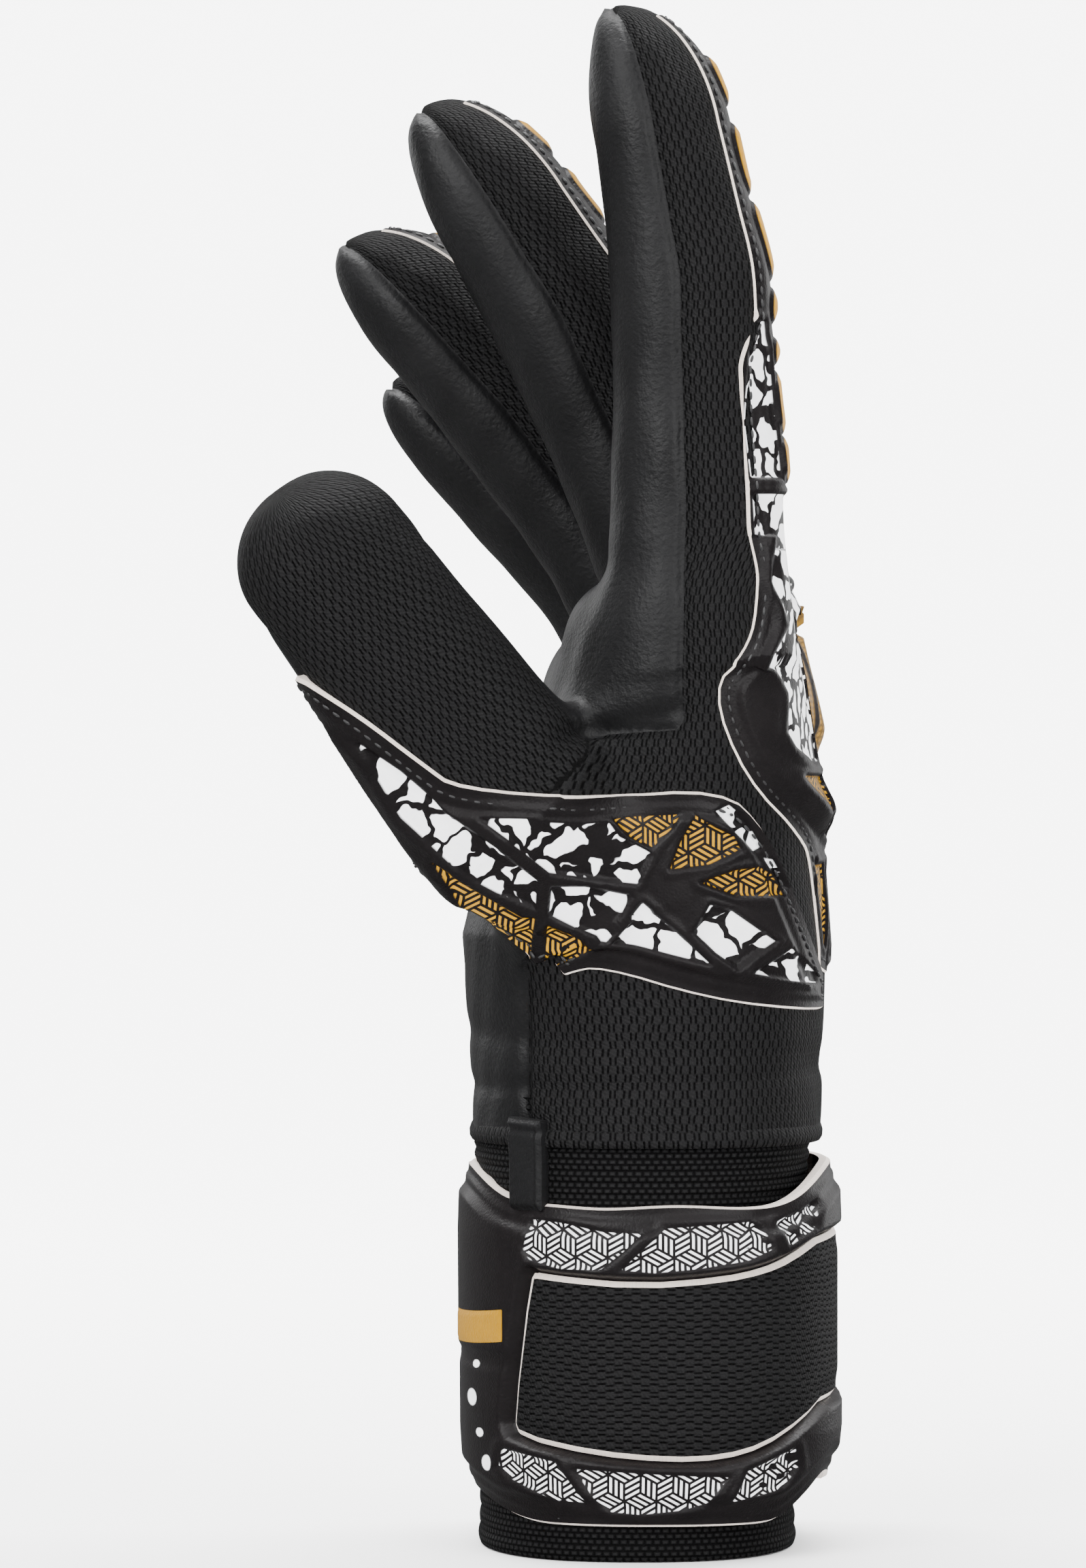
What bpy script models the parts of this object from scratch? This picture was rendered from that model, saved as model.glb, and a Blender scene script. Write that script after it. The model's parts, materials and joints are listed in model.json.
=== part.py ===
"""Right-hand goalkeeper glove, standing on its knitted cuff.

Lengths are written in millimetres and turned into metres when a mesh is made.
The layout frame has its origin in the middle of the cuff's bottom rim: +X is the back of the hand,
-X the palm, -Y the thumb side and +Z the way the fingers point. STAND_CENTRE then moves the
origin to the middle of the glove's footprint box.
"""
import math
from collections import namedtuple

import bmesh
import bpy
from mathutils import Vector

MM = 0.001
STAND_CENTRE = Vector((-17.9, -14.2, 0.0))
GAP = 0.3                    # free space kept between neighbouring pieces
HALF_GAP = GAP / 2

# Wrist: (z, palm-side x, back-side x, half-width) of the knitted tube under the strap
WRIST_LEVELS = ((0, -28.7, 28.7, 40.0), (56, -28.7, 29.2, 40.0), (72, -29.2, 31.0, 40.5), (84, -30.0, 31.8, 42.0))
# Strap: (z, palm-side x, back-side x, half-width) of its outer face
STRAP_LEVELS = ((12, -31.4, 33.7, 43.0), (22, -32.4, 35.6, 44.4), (58, -32.4, 35.4, 44.4), (71, -31.4, 34.4, 43.4))
# Hand: (z, palm-side x, back-side x, half-width) of the shell that holds the palm
HAND_LEVELS = (
    (82, -29.9, 31.7, 41.9),
    (98, -30.4, 32.4, 43.0),
    (112, -30.5, 31.6, 45.0),
    (128, -26.5, 31.4, 47.5),
    (144, -21.5, 30.8, 49.3),
    (158, -17.5, 29.2, 50.2),
    (184, -12.0, 26.4, 50.2),
)
WIDTH_CENTRE_Y = -1.3
CUFF_TOP_Z = 56.0
HAND_BOTTOM_Z = 82.0
# The hand gets thinner and lower towards the little finger: (z, millimetres lost at the little finger)
BACK_TAPER = ((110, 0.0), (184, 15.0))
TOP_DROP = ((130, 0.0), (184, 8.0))
SHELL = 2.4                  # latex or mesh with its lining
CUFF_WALL = 2.2
PANEL_IN, PANEL_OUT = 1.0, 2.9    # inner and outer face of a backhand panel above the shell
GUARD_OUT = 5.2
ABOVE = 4.0                  # a cutting solid reaches this far past the rim it cuts through
HAND_POWER = 2.4             # 2 is an ellipse, more is boxier
FINGER_POWER = 2.3

# Fingers: slab centre y, half-width, knuckle (x, z), tilts towards the palm of the two segments in
# degrees, their lengths, half-depths at the knuckle, middle joint and tip start, and tip length
Finger = namedtuple("Finger", "y half_width knuckle tilts lengths half_depths tip_length")
FINGERS = {
    "index": Finger(-38.6, 12.6, (10.2, 184.0), (2.0, 10.5), (47.0, 49.5), (15.6, 13.8, 12.6), 24.0),
    "middle": Finger(-12.6, 12.5, (6.0, 184.5), (25.0, 32.0), (46.0, 46.0), (14.8, 14.2, 13.6), 26.0),
    "ring": Finger(12.6, 12.2, (-0.8, 179.0), (37.0, 42.0), (38.0, 44.0), (14.0, 13.6, 12.8), 24.0),
    "little": Finger(37.0, 11.6, (-2.4, 169.2), (40.0, 44.0), (30.0, 34.5), (12.0, 11.5, 11.0), 20.0),
}
SLAB_EDGES_Y = (-90.0, -25.55, 0.15, 25.1, 90.0)
SLAB_LAP = 0.05              # neighbouring rim blocks share this much, so no sliver stays between them
FLEX_HALF = 7.3              # half of the stretch zone at a finger joint
TIP_LEAN = 5.0               # how far the finger tip's pole lies towards the palm
SEAM_ANGLE = 8.0             # the latex stops this far towards the palm from the finger's widest line
BACK_STRIP_ANGLES = (50.0, 130.0)

# Thumb: base and tip-joint distance along its axis, half-widths and half-depths
THUMB_BASE = Vector((-31.5, -52.0, 147.5))
THUMB_END = Vector((-56.0, -66.0, 180.0))      # centre of the round tip
THUMB_JOINT_AT = 25.0
THUMB_FLEX_HALF = 5.0
THUMB_ROOT_AT = -38.0
THUMB_BULGE_AT = -15.0
MOUTH_FROM = -24.0           # where a finger's bore starts, before its joint
MOUTH_INSET = 0.5
RIM_BLOCK = 60.0
THUMB_WIDTHS = ((THUMB_ROOT_AT, 14.0), (THUMB_BULGE_AT, 20.0), (0.0, 18.0), (25.0, 16.4), (43.0, 15.5))
THUMB_DEPTHS = ((THUMB_ROOT_AT, 6.0), (THUMB_BULGE_AT, 14.0), (0.0, 13.4), (25.0, 13.0), (43.0, 12.6))
THUMB_TIP_LENGTH = 14.0

# Outlines in the x-z plane, seen from the thumb side
PALM_OUTLINE = ((-120, 60), (-20.5, 60), (-20.5, 112), (-8, 128), (7, 150), (8, 230), (-120, 230))
THUMB_MESH_OUTLINE = ((-110, 112), (60, 112), (60, 150), (-9, 150), (-110, 270.0))
THUMB_MESH_Y = -48.0
THUMB_PANEL_OUTLINE = (
    (-60, 160), (-38.5, 143.3), (-32.4, 138.8), (-8.3, 136.9), (15.9, 138.6), (21.9, 131.3), (27.9, 117.7),
    (30, 110), (30, 100.2), (11.4, 101.8), (-6.8, 107.5), (-12.8, 106.4), (-20, 102.6), (-60, 96),
)
THUMB_PANEL_Y = -8.0
THUMB_PANEL_PALM_LIMIT = (0.0, -44.0)   # nearer the palm than this x, it ends at this y
# Backhand panel: (z, half of its angular width about the back of the hand, in degrees)
BACKHAND_WIDTHS = ((104, 15.0), (129, 17.0), (136, 44.0), (141, 62.0), (157, 78.0), (164, 55.0), (186, 54.0))
GUARD_Z = (126.0, 132.0, 146.0, 152.0)
GUARD_WIDTH = 42.0

# Strap angles, counted from the back of the hand (+X) towards the little-finger side (+Y)
STRAP_BODY_ANGLES = (168.0, 384.0)
WINDOW_ANGLES = (222.0, 352.0)
WINDOW_Z = (25.0, 56.0)
WINDOW_FLOOR = 1.6           # thickness of the strap left under the window
TAB_ANGLES = (27.0, 164.0)
LOOP_ANGLES = (28.0, 160.0)
HOOK_ANGLES = (31.0, 88.0)
TAB_Z = (17.0, 66.0)
LABEL_ANGLES = (184.0, 217.0)
LABEL_Z = (44.5, 50.0)
PULL_TAB_ANGLES = (228.0, 240.0)
PULL_TAB_Z = (73.0, 87.0)

MATERIALS = {
    "latex": ((0.018, 0.018, 0.020), 0.55, 0.0),
    "mesh": ((0.012, 0.012, 0.013), 0.85, 0.0),
    "panel": ((0.020, 0.018, 0.019), 0.38, 0.0),
    "guard": ((0.55, 0.36, 0.06), 0.35, 0.0),
    "knit": ((0.014, 0.014, 0.015), 0.9, 0.0),
    "lining": ((0.03, 0.03, 0.032), 0.95, 0.0),
    "hook": ((0.05, 0.05, 0.05), 0.8, 0.0),
    "label": ((0.62, 0.41, 0.05), 0.4, 0.0),
}
FLAT_ENOUGH = math.radians(0.25)   # faces nearer in direction than this become one
FINE, COARSE, FLEX_SIDES = 32, 20, 16   # sides of a hand ring, a finger ring and a stretch ring


def clear_scene():
    for item in list(bpy.data.objects):
        bpy.data.objects.remove(item, do_unlink=True)


def material(name):
    """The Principled material of that name, made on first use."""
    if name in bpy.data.materials:
        return bpy.data.materials[name]
    colour, roughness, metallic = MATERIALS[name]
    made = bpy.data.materials.new(name)
    made.use_nodes = True
    shader = made.node_tree.nodes["Principled BSDF"]
    shader.inputs["Base Color"].default_value = (*colour, 1.0)
    shader.inputs["Roughness"].default_value = roughness
    shader.inputs["Metallic"].default_value = metallic
    made.diffuse_color = (*colour, 1.0)
    return made


def pivot(name, at, parent=None):
    """An empty on a joint's axis, which carries the pieces that turn there."""
    empty = bpy.data.objects.new(name + "_pivot", None)
    bpy.context.collection.objects.link(empty)
    place = (at - STAND_CENTRE) * MM
    empty["place"] = list(place)
    empty.location = place - Vector(parent["place"]) if parent else place
    empty.parent = parent
    return empty


def mesh_object(name, points, faces, surface, carrier=None):
    """One closed body, given by layout points, made into an object on its carrier."""
    origin = Vector(carrier["place"]) if carrier else Vector()
    mesh = bpy.data.meshes.new(name)
    mesh.from_pydata([(p - STAND_CENTRE) * MM - origin for p in points], [], faces)
    tidy = bmesh.new()
    tidy.from_mesh(mesh)
    bmesh.ops.triangulate(tidy, faces=tidy.faces)
    bmesh.ops.recalc_face_normals(tidy, faces=tidy.faces)
    tidy.to_mesh(mesh)
    tidy.free()
    mesh.shade_smooth()
    mesh.set_sharp_from_angle(angle=math.radians(40))
    made = bpy.data.objects.new(name, mesh)
    bpy.context.collection.objects.link(made)
    made.parent = carrier
    made.data.materials.append(material(surface))
    return made


def between(table, at, column=1):
    """Straight-line reading of a table whose first column rises."""
    if at <= table[0][0]:
        return table[0][column]
    for low, high in zip(table, table[1:]):
        if at <= high[0]:
            share = (at - low[0]) / (high[0] - low[0])
            return low[column] + share * (high[column] - low[column])
    return table[-1][column]


def oval(angle, power):
    """Cosine and sine of a rounded-box curve."""
    c, s = math.cos(angle), math.sin(angle)
    return math.copysign(abs(c) ** (2 / power), c), math.copysign(abs(s) ** (2 / power), s)


def steps(start, end, count):
    return [start + (end - start) * k / count for k in range(count + 1)]


def radians(pair, count):
    return steps(math.radians(pair[0]), math.radians(pair[1]), count)


def whole_turn(count):
    return [2 * math.pi * k / count for k in range(count)]


def wall(name, rows, angles, outer, inner, surface, carrier=None, ring=False, tip=False):
    """A closed shell piece between two surfaces, each a function of a row and an angle.

    ring joins the last angle to the first. tip closes the last row over instead of leaving a rim.
    """
    count = len(angles)
    points = [outer(row, angle) for row in rows for angle in angles]
    shift = len(points)
    points += [inner(row, angle) for row in rows for angle in angles]
    faces = []
    spans = [(k, (k + 1) % count) for k in range(count if ring else count - 1)]
    for r in range(len(rows) - 1):
        low, high = r * count, (r + 1) * count
        for a, b in spans:
            faces.append((low + a, low + b, high + b, high + a))
            faces.append((shift + low + a, shift + high + a, shift + high + b, shift + low + b))
    last = (len(rows) - 1) * count
    for a, b in spans:
        faces.append((a, shift + a, shift + b, b))
        if not tip:
            faces.append((last + a, last + b, shift + last + b, shift + last + a))
    if not ring:
        for r in range(len(rows) - 1):
            for edge in (0, count - 1):
                low, high = r * count + edge, (r + 1) * count + edge
                faces.append((low, high, shift + high, shift + low))
    if tip:
        poles = []
        for base in (last, shift + last):
            ends = points[base:base + count] if ring else (points[base], points[base + count - 1])
            poles.append(len(points))
            points.append(sum(ends, Vector()) / len(ends))
            faces += [(base + a, base + b, poles[-1]) for a, b in spans]
        if not ring:
            end = last + count - 1
            faces.append((last, poles[0], end, shift + end, poles[1], shift + last))
    return mesh_object(name, points, faces, surface, carrier)


def loft(rows, angles, place):
    """A closed solid through rings of points: (points, faces)."""
    count = len(angles)
    points = [place(row, angle) for row in rows for angle in angles]
    faces = []
    for r in range(len(rows) - 1):
        for a in range(count):
            b = (a + 1) % count
            faces.append((r * count + a, r * count + b, (r + 1) * count + b, (r + 1) * count + a))
    for base in (0, (len(rows) - 1) * count):
        centre = len(points)
        points.append(sum(points[base:base + count], Vector()) / count)
        faces += [(base + a, base + (a + 1) % count, centre) for a in range(count)]
    return points, faces


def prism(outline, low_y, high_y):
    """A closed solid: an x-z outline pulled along y."""
    count = len(outline)
    points = [Vector((x, y, z)) for y in (low_y, high_y) for x, z in outline]
    faces = [tuple(range(count)), tuple(range(2 * count - 1, count - 1, -1))]
    faces += [(k, (k + 1) % count, count + (k + 1) % count, count + k) for k in range(count)]
    return points, faces


def block(centre, axes, halves):
    """A closed box with its own axes."""
    corners = [
        centre + axes[0] * halves[0] * i + axes[1] * halves[1] * j + axes[2] * halves[2] * k
        for i in (-1, 1) for j in (-1, 1) for k in (-1, 1)
    ]
    return corners, [(0, 1, 3, 2), (4, 6, 7, 5), (0, 4, 5, 1), (2, 3, 7, 6), (0, 2, 6, 4), (1, 5, 7, 3)]


def combine(name, first, steps_of, surface, solver="EXACT"):
    """Cut, join or intersect solids one after another and keep the result as one object.

    Every solid is closed. The thin skins lose faces under EXACT, so they are cut with MANIFOLD.
    """
    result = mesh_object(name, *first, surface)
    for operation, solid in steps_of:
        other = mesh_object(name + "_tool", *solid, surface)
        change = result.modifiers.new("change", "BOOLEAN")
        change.operation = operation
        change.solver = solver
        change.object = other
        bpy.context.view_layer.update()
        evaluated = result.evaluated_get(bpy.context.evaluated_depsgraph_get())
        mesh = bpy.data.meshes.new_from_object(evaluated)
        result.modifiers.clear()
        result.data = mesh
        mesh.name = name
        bpy.data.objects.remove(other, do_unlink=True)
    return drop_crumbs(result)


def drop_crumbs(made):
    """Keep an object's largest connected body. Cuts leave slivers where the stubs meet."""
    work = bmesh.new()
    work.from_mesh(made.data)
    left, bodies = set(work.faces), []
    while left:
        body, fresh = [], [left.pop()]
        while fresh:
            face = fresh.pop()
            body.append(face)
            near = {other for edge in face.edges for other in edge.link_faces if other in left}
            fresh += near
            left -= near
        bodies.append(body)
    bodies.sort(key=len)
    bmesh.ops.delete(work, geom=[face for body in bodies[:-1] for face in body], context="FACES")
    bmesh.ops.dissolve_limit(work, angle_limit=FLAT_ENOUGH, verts=work.verts, edges=work.edges)
    bmesh.ops.triangulate(work, faces=work.faces)
    work.to_mesh(made.data)
    work.free()
    return made


def as_solid(made):
    """Take an object off the scene and give back its layout points and faces."""
    points = [v.co / MM + STAND_CENTRE for v in made.data.vertices]
    faces = [tuple(f.vertices) for f in made.data.polygons]
    bpy.data.objects.remove(made, do_unlink=True)
    return points, faces


# ---------------------------------------------------------------- fingers and thumb

Segment = namedtuple("Segment", "start along across back")


def finger_segments(finger):
    """Knuckle and tip segments: start point, direction, width direction and back direction."""
    found, start = [], Vector((finger.knuckle[0], finger.y, finger.knuckle[1]))
    for tilt, length in zip(finger.tilts, finger.lengths):
        turn = math.radians(tilt)
        along = Vector((-math.sin(turn), 0, math.cos(turn)))
        back = Vector((math.cos(turn), 0, math.sin(turn)))
        found.append(Segment(start, along, Vector((0, 1, 0)), back))
        start = start + along * length
    return found


def tube_point(segment, at, width, depth, angle, out, side=0.0):
    """A point on a straight tube's surface, at a distance along it, moved out and sideways."""
    c, s = oval(angle, FINGER_POWER)
    across = segment.across * (width + out) * c
    return segment.start + segment.along * at + across + segment.back * ((depth + out) * s + side)


def tip_point(segment, start, length, width, depth, rise, angle, out, side=0.0, lean=TIP_LEAN):
    """A point on a rounded tip. rise goes from 0 where the tube ends to a right angle at the pole."""
    c, s = oval(angle, FINGER_POWER)
    shrink = math.cos(rise)
    centre = segment.start + segment.along * (start + (length + out) * math.sin(rise))
    centre -= segment.back * lean * (1 - shrink)
    return centre + segment.across * (width + out) * shrink * c + segment.back * ((depth + out) * shrink * s + side)


TIP_RISES = [math.radians(a) for a in (0, 24, 45, 62, 75, 83)]
STRIP_RISES = [math.radians(a) for a in (0, 24, 42)]


def half_angles(latex):
    """Angles round the palm half or the back half of a finger, split at the seam."""
    seam = SEAM_ANGLE
    pair = (180 + seam, 360 - seam) if latex else (-seam, 180 + seam)
    return radians(pair, COARSE // 2)


def finger_surface(finger, segment, second, side, out):
    """Function of a row and an angle for one segment's surface. A row is (distance, rise)."""
    low, high = finger.half_depths[1:] if second else finger.half_depths[:2]
    straight = finger.lengths[second] - (finger.tip_length if second else 0)

    def place(row, angle):
        at, rise = row
        depth = low + (high - low) * min(1.0, max(0.0, at / straight))
        if rise is None:
            return tube_point(segment, at, finger.half_width, depth, angle, out, side)
        return tip_point(segment, straight, finger.tip_length, finger.half_width, depth, rise, angle, out, side)

    return place


def make_finger(name, finger):
    segments = finger_segments(finger)
    knuckle = pivot(name + "_base", segments[0].start)
    middle = pivot(name + "_tip", segments[1].start, knuckle)
    ends = (finger.lengths[0] - FLEX_HALF, finger.lengths[1] - finger.tip_length)
    carriers = (knuckle, middle)
    for second, (segment, part) in enumerate(zip(segments, ("base", "tip"))):
        tube = [(FLEX_HALF, None), ((FLEX_HALF + ends[second]) / 2, None), (ends[second], None)]
        dome = [(ends[second], rise) for rise in TIP_RISES[1:]] if second else []
        strip = [(ends[second], rise) for rise in STRIP_RISES[1:]] if second else []
        for latex, label, surface in ((True, "palm", "latex"), (False, "gusset", "mesh")):
            side = -HALF_GAP if latex else HALF_GAP
            wall(
                f"{name}_{label}_{part}", tube + dome, half_angles(latex),
                finger_surface(finger, segment, second, side, 0.0),
                finger_surface(finger, segment, second, side, -SHELL),
                surface, carriers[second], tip=bool(second),
            )
        wall(
            f"{name}_back_{part}", tube + strip, radians(BACK_STRIP_ANGLES, 6),
            finger_surface(finger, segment, second, HALF_GAP, PANEL_OUT),
            finger_surface(finger, segment, second, HALF_GAP, GAP),
            "panel", carriers[second],
        )
    make_flex(name + "_knuckle_flex", finger, segments[0], segments[0], 0, None)
    make_flex(name + "_joint_flex", finger, segments[0], segments[1], 1, knuckle)


def make_flex(name, finger, before, after, which, carrier):
    """A stretch ring that fills the gap at a joint, from the segment before to the one after."""
    reach = FLEX_HALF - GAP
    depth = finger.half_depths[which]
    joint = finger.lengths[0] if which else 0.0

    def surface(out):
        def place(row, angle):
            segment, at = (before, joint - reach) if row == 0 else (after, reach)
            return tube_point(segment, at, finger.half_width, depth, angle, out)
        return place

    wall(name, (0, 1), whole_turn(FLEX_SIDES), surface(-0.4), surface(-SHELL), "knit", carrier, ring=True)


def thumb_segment():
    along = (THUMB_END - THUMB_BASE).normalized()
    across = Vector((along.z, 0, -along.x)).normalized()
    return Segment(THUMB_BASE, along, across, along.cross(across))


def thumb_surface(segment, side, out):
    """Function of a row and an angle. The pad, of latex, is on the back direction's side."""
    start = (THUMB_END - THUMB_BASE).length

    def place(row, angle):
        at, rise = row
        width, depth = between(THUMB_WIDTHS, at), between(THUMB_DEPTHS, at)
        if rise is None:
            return tube_point(segment, at, width, depth, angle, out, side)
        return tip_point(segment, start, THUMB_TIP_LENGTH, width, depth, rise, angle, out, side, lean=0.0)

    return place


def make_thumb():
    segment = thumb_segment()
    base = pivot("thumb_base", segment.start)
    tip = pivot("thumb_tip", segment.start + segment.along * THUMB_JOINT_AT, base)
    end = (THUMB_END - THUMB_BASE).length
    low = [(THUMB_FLEX_HALF, None), (THUMB_JOINT_AT - THUMB_FLEX_HALF, None)]
    high = [(THUMB_JOINT_AT + THUMB_FLEX_HALF, None), (end, None)] + [(end, rise) for rise in TIP_RISES[1:]]
    pad = radians((-12, 180), COARSE // 2)
    outside = radians((180, 348), COARSE // 2)
    for rows, carrier, part in ((low, base, "base"), (high, tip, "tip")):
        for angles, side, label, surface in (
            (pad, HALF_GAP, "palm", "latex"), (outside, -HALF_GAP, "mesh", "mesh"),
        ):
            wall(
                f"thumb_{label}_{part}", rows, angles, thumb_surface(segment, side, 0.0),
                thumb_surface(segment, side, -SHELL), surface, carrier, tip=part == "tip",
            )
    wall(
        "thumb_panel_end", low, radians((192, 262), 5), thumb_surface(segment, -HALF_GAP, PANEL_OUT),
        thumb_surface(segment, -HALF_GAP, GAP), "panel", base,
    )
    for name, at, carrier in (("thumb_root_flex", 0.0, None), ("thumb_joint_flex", THUMB_JOINT_AT, base)):
        reach = THUMB_FLEX_HALF - GAP
        wall(
            name, ((at - reach, None), (at + reach, None)), whole_turn(FLEX_SIDES), thumb_surface(segment, 0, -0.4),
            thumb_surface(segment, 0, -SHELL), "knit", carrier, ring=True,
        )


# ---------------------------------------------------------------- hand

def hand_point(z, angle, out):
    """A point of the hand's oval section, thinner and lower towards the little finger."""
    c, s = oval(angle, HAND_POWER)
    low, high = between(HAND_LEVELS, z, 1), between(HAND_LEVELS, z, 2)
    x = (low + high) / 2 + ((high - low) / 2 + out) * c
    y = WIDTH_CENTRE_Y + (between(HAND_LEVELS, z, 3) + out) * s
    little = min(1.1, max(0.0, (y - FINGERS["index"].y) / (FINGERS["little"].y - FINGERS["index"].y)))
    x -= between(BACK_TAPER, z) * little * (x - low) / (high - low)
    return Vector((x, y, z - between(TOP_DROP, z) * little))


def back_surface(widths, out):
    """Function of a height and a share, -1 to 1, of a strip's angular width about the back."""
    return lambda z, share: hand_point(z, math.radians(share * between(widths, z)), out)


def finger_mouth(finger, out):
    """The bore that leads from the hand's hollow into a finger, past the joint's lower rim."""
    segment = finger_segments(finger)[0]
    depth = finger.half_depths[0]
    return loft(
        (MOUTH_FROM, 0.0), whole_turn(COARSE),
        lambda at, angle: tube_point(segment, at, finger.half_width, depth, angle, out),
    )


def above_rims(past):
    """Blocks that hold everything above each finger's lower rim, inside the finger's own slab.

    past moves the rims up and narrows the slabs, so that no face lies on one of the plain blocks.
    """
    found = []
    for finger, low, high in zip(FINGERS.values(), SLAB_EDGES_Y, SLAB_EDGES_Y[1:]):
        segment = finger_segments(finger)[0]
        centre = segment.start + segment.along * (RIM_BLOCK - FLEX_HALF + past)
        centre.y = (low + high) / 2
        halves = (RIM_BLOCK, (high - low) / 2 - past + SLAB_LAP, 1.5 * RIM_BLOCK)
        found.append(block(centre, (segment.along, segment.across, segment.back), halves))
    return found


def hand_solid(name, out, bottom, past=0.0):
    """The hand with its thumb root as one closed solid, its surface moved out by out.

    past moves its top and the finger rims up. A solid that cuts another one is given a top that
    lies off the other's: lower for the hollow, which has the finger and thumb mouths, or higher.
    """
    rows = [bottom] + [row[0] for row in HAND_LEVELS[1:]]
    body = loft(rows, whole_turn(FINE), lambda z, angle: hand_point(z, angle, out))
    reach = THUMB_FLEX_HALF if past else -THUMB_FLEX_HALF
    root = loft(
        [(at, None) for at in (THUMB_ROOT_AT, THUMB_BULGE_AT, reach)], whole_turn(COARSE),
        thumb_surface(thumb_segment(), 0.0, out),
    )
    changes = [("DIFFERENCE", solid) for solid in above_rims(past)]
    if past < 0:
        changes += [("UNION", finger_mouth(finger, out - MOUTH_INSET)) for finger in FINGERS.values()]
    return as_solid(combine(name, body, changes + [("UNION", root)], "mesh", "MANIFOLD"))


def make_hand():
    outer = hand_solid("outer", 0.0, HAND_BOTTOM_Z)
    hollow = hand_solid("hollow", -SHELL, HAND_BOTTOM_Z - 6, -SHELL)
    shell = as_solid(combine("shell", outer, [("DIFFERENCE", hollow)], "mesh", "MANIFOLD"))
    palm = as_solid(combine(
        "palm_region", prism(PALM_OUTLINE, -120, 120),
        [("DIFFERENCE", prism(THUMB_MESH_OUTLINE, -150, THUMB_MESH_Y))], "latex"))
    wider = as_solid(combine(
        "wide_region", prism([(x + GAP, z) for x, z in PALM_OUTLINE], -120, 120),
        [("DIFFERENCE", prism([(x, z + GAP if z > 200 or z < 120 else z - GAP) for x, z in THUMB_MESH_OUTLINE],
                              -150, THUMB_MESH_Y - GAP))], "latex"))
    combine("palm_latex", shell, [("INTERSECT", palm)], "latex", "MANIFOLD")
    combine("body_mesh", shell, [("DIFFERENCE", wider)], "mesh", "MANIFOLD")

    under = hand_solid("under", GAP, HAND_BOTTOM_Z - 3, ABOVE)
    over = hand_solid("over", PANEL_OUT, HAND_BOTTOM_Z - 1)
    skin = as_solid(combine("skin", over, [("DIFFERENCE", under)], "panel", "MANIFOLD"))
    thumb = thumb_segment()
    past_thumb_rim = block(
        thumb.start + thumb.along * (60 - THUMB_FLEX_HALF), (thumb.along, thumb.across, thumb.back), (60, 40, 40))
    palm_x, palm_y = THUMB_PANEL_PALM_LIMIT
    palm_side = prism(((-120, 60), (palm_x, 60), (palm_x, 200), (-120, 200)), palm_y, 60)
    combine("thumb_panel", skin, [
        ("INTERSECT", prism(THUMB_PANEL_OUTLINE, -120, THUMB_PANEL_Y)), ("DIFFERENCE", past_thumb_rim),
        ("DIFFERENCE", palm_side),
    ], "panel", "MANIFOLD")
    panel = wall(
        "backhand_solid", [row[0] for row in BACKHAND_WIDTHS], steps(-1, 1, 14), back_surface(BACKHAND_WIDTHS, PANEL_OUT),
        back_surface(BACKHAND_WIDTHS, PANEL_IN), "panel",
    )
    cuts = [("DIFFERENCE", solid) for solid in above_rims(0.0)]
    combine("backhand_panel", as_solid(panel), cuts, "panel")
    guard = [(z, GUARD_WIDTH) for z in GUARD_Z]
    wall(
        "knuckle_guard", GUARD_Z, steps(-1, 1, 12), back_surface(guard, GUARD_OUT),
        back_surface(guard, PANEL_OUT + PANEL_IN), "guard",
    )
    wall(
        "palm_lining", (88, 112, 140), radians((105, 195), 8),
        lambda z, angle: hand_point(z, angle, -SHELL - PANEL_IN),
        lambda z, angle: hand_point(z, angle, -SHELL - PANEL_OUT), "lining",
    )


# ---------------------------------------------------------------- wrist and strap

def wrist_point(levels, out=0.0):
    """Function of a height and an angle for a wrist band's surface."""
    def place(z, angle):
        c, s = oval(angle, HAND_POWER)
        low, high = between(levels, z, 1), between(levels, z, 2)
        x = (low + high) / 2 + ((high - low) / 2 + out) * c
        return Vector((x, WIDTH_CENTRE_Y + (between(levels, z, 3) + out) * s, z))
    return place


def window_floor(z, angle):
    return wrist_point(WRIST_LEVELS, GAP + WINDOW_FLOOR)(z, angle)


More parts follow.
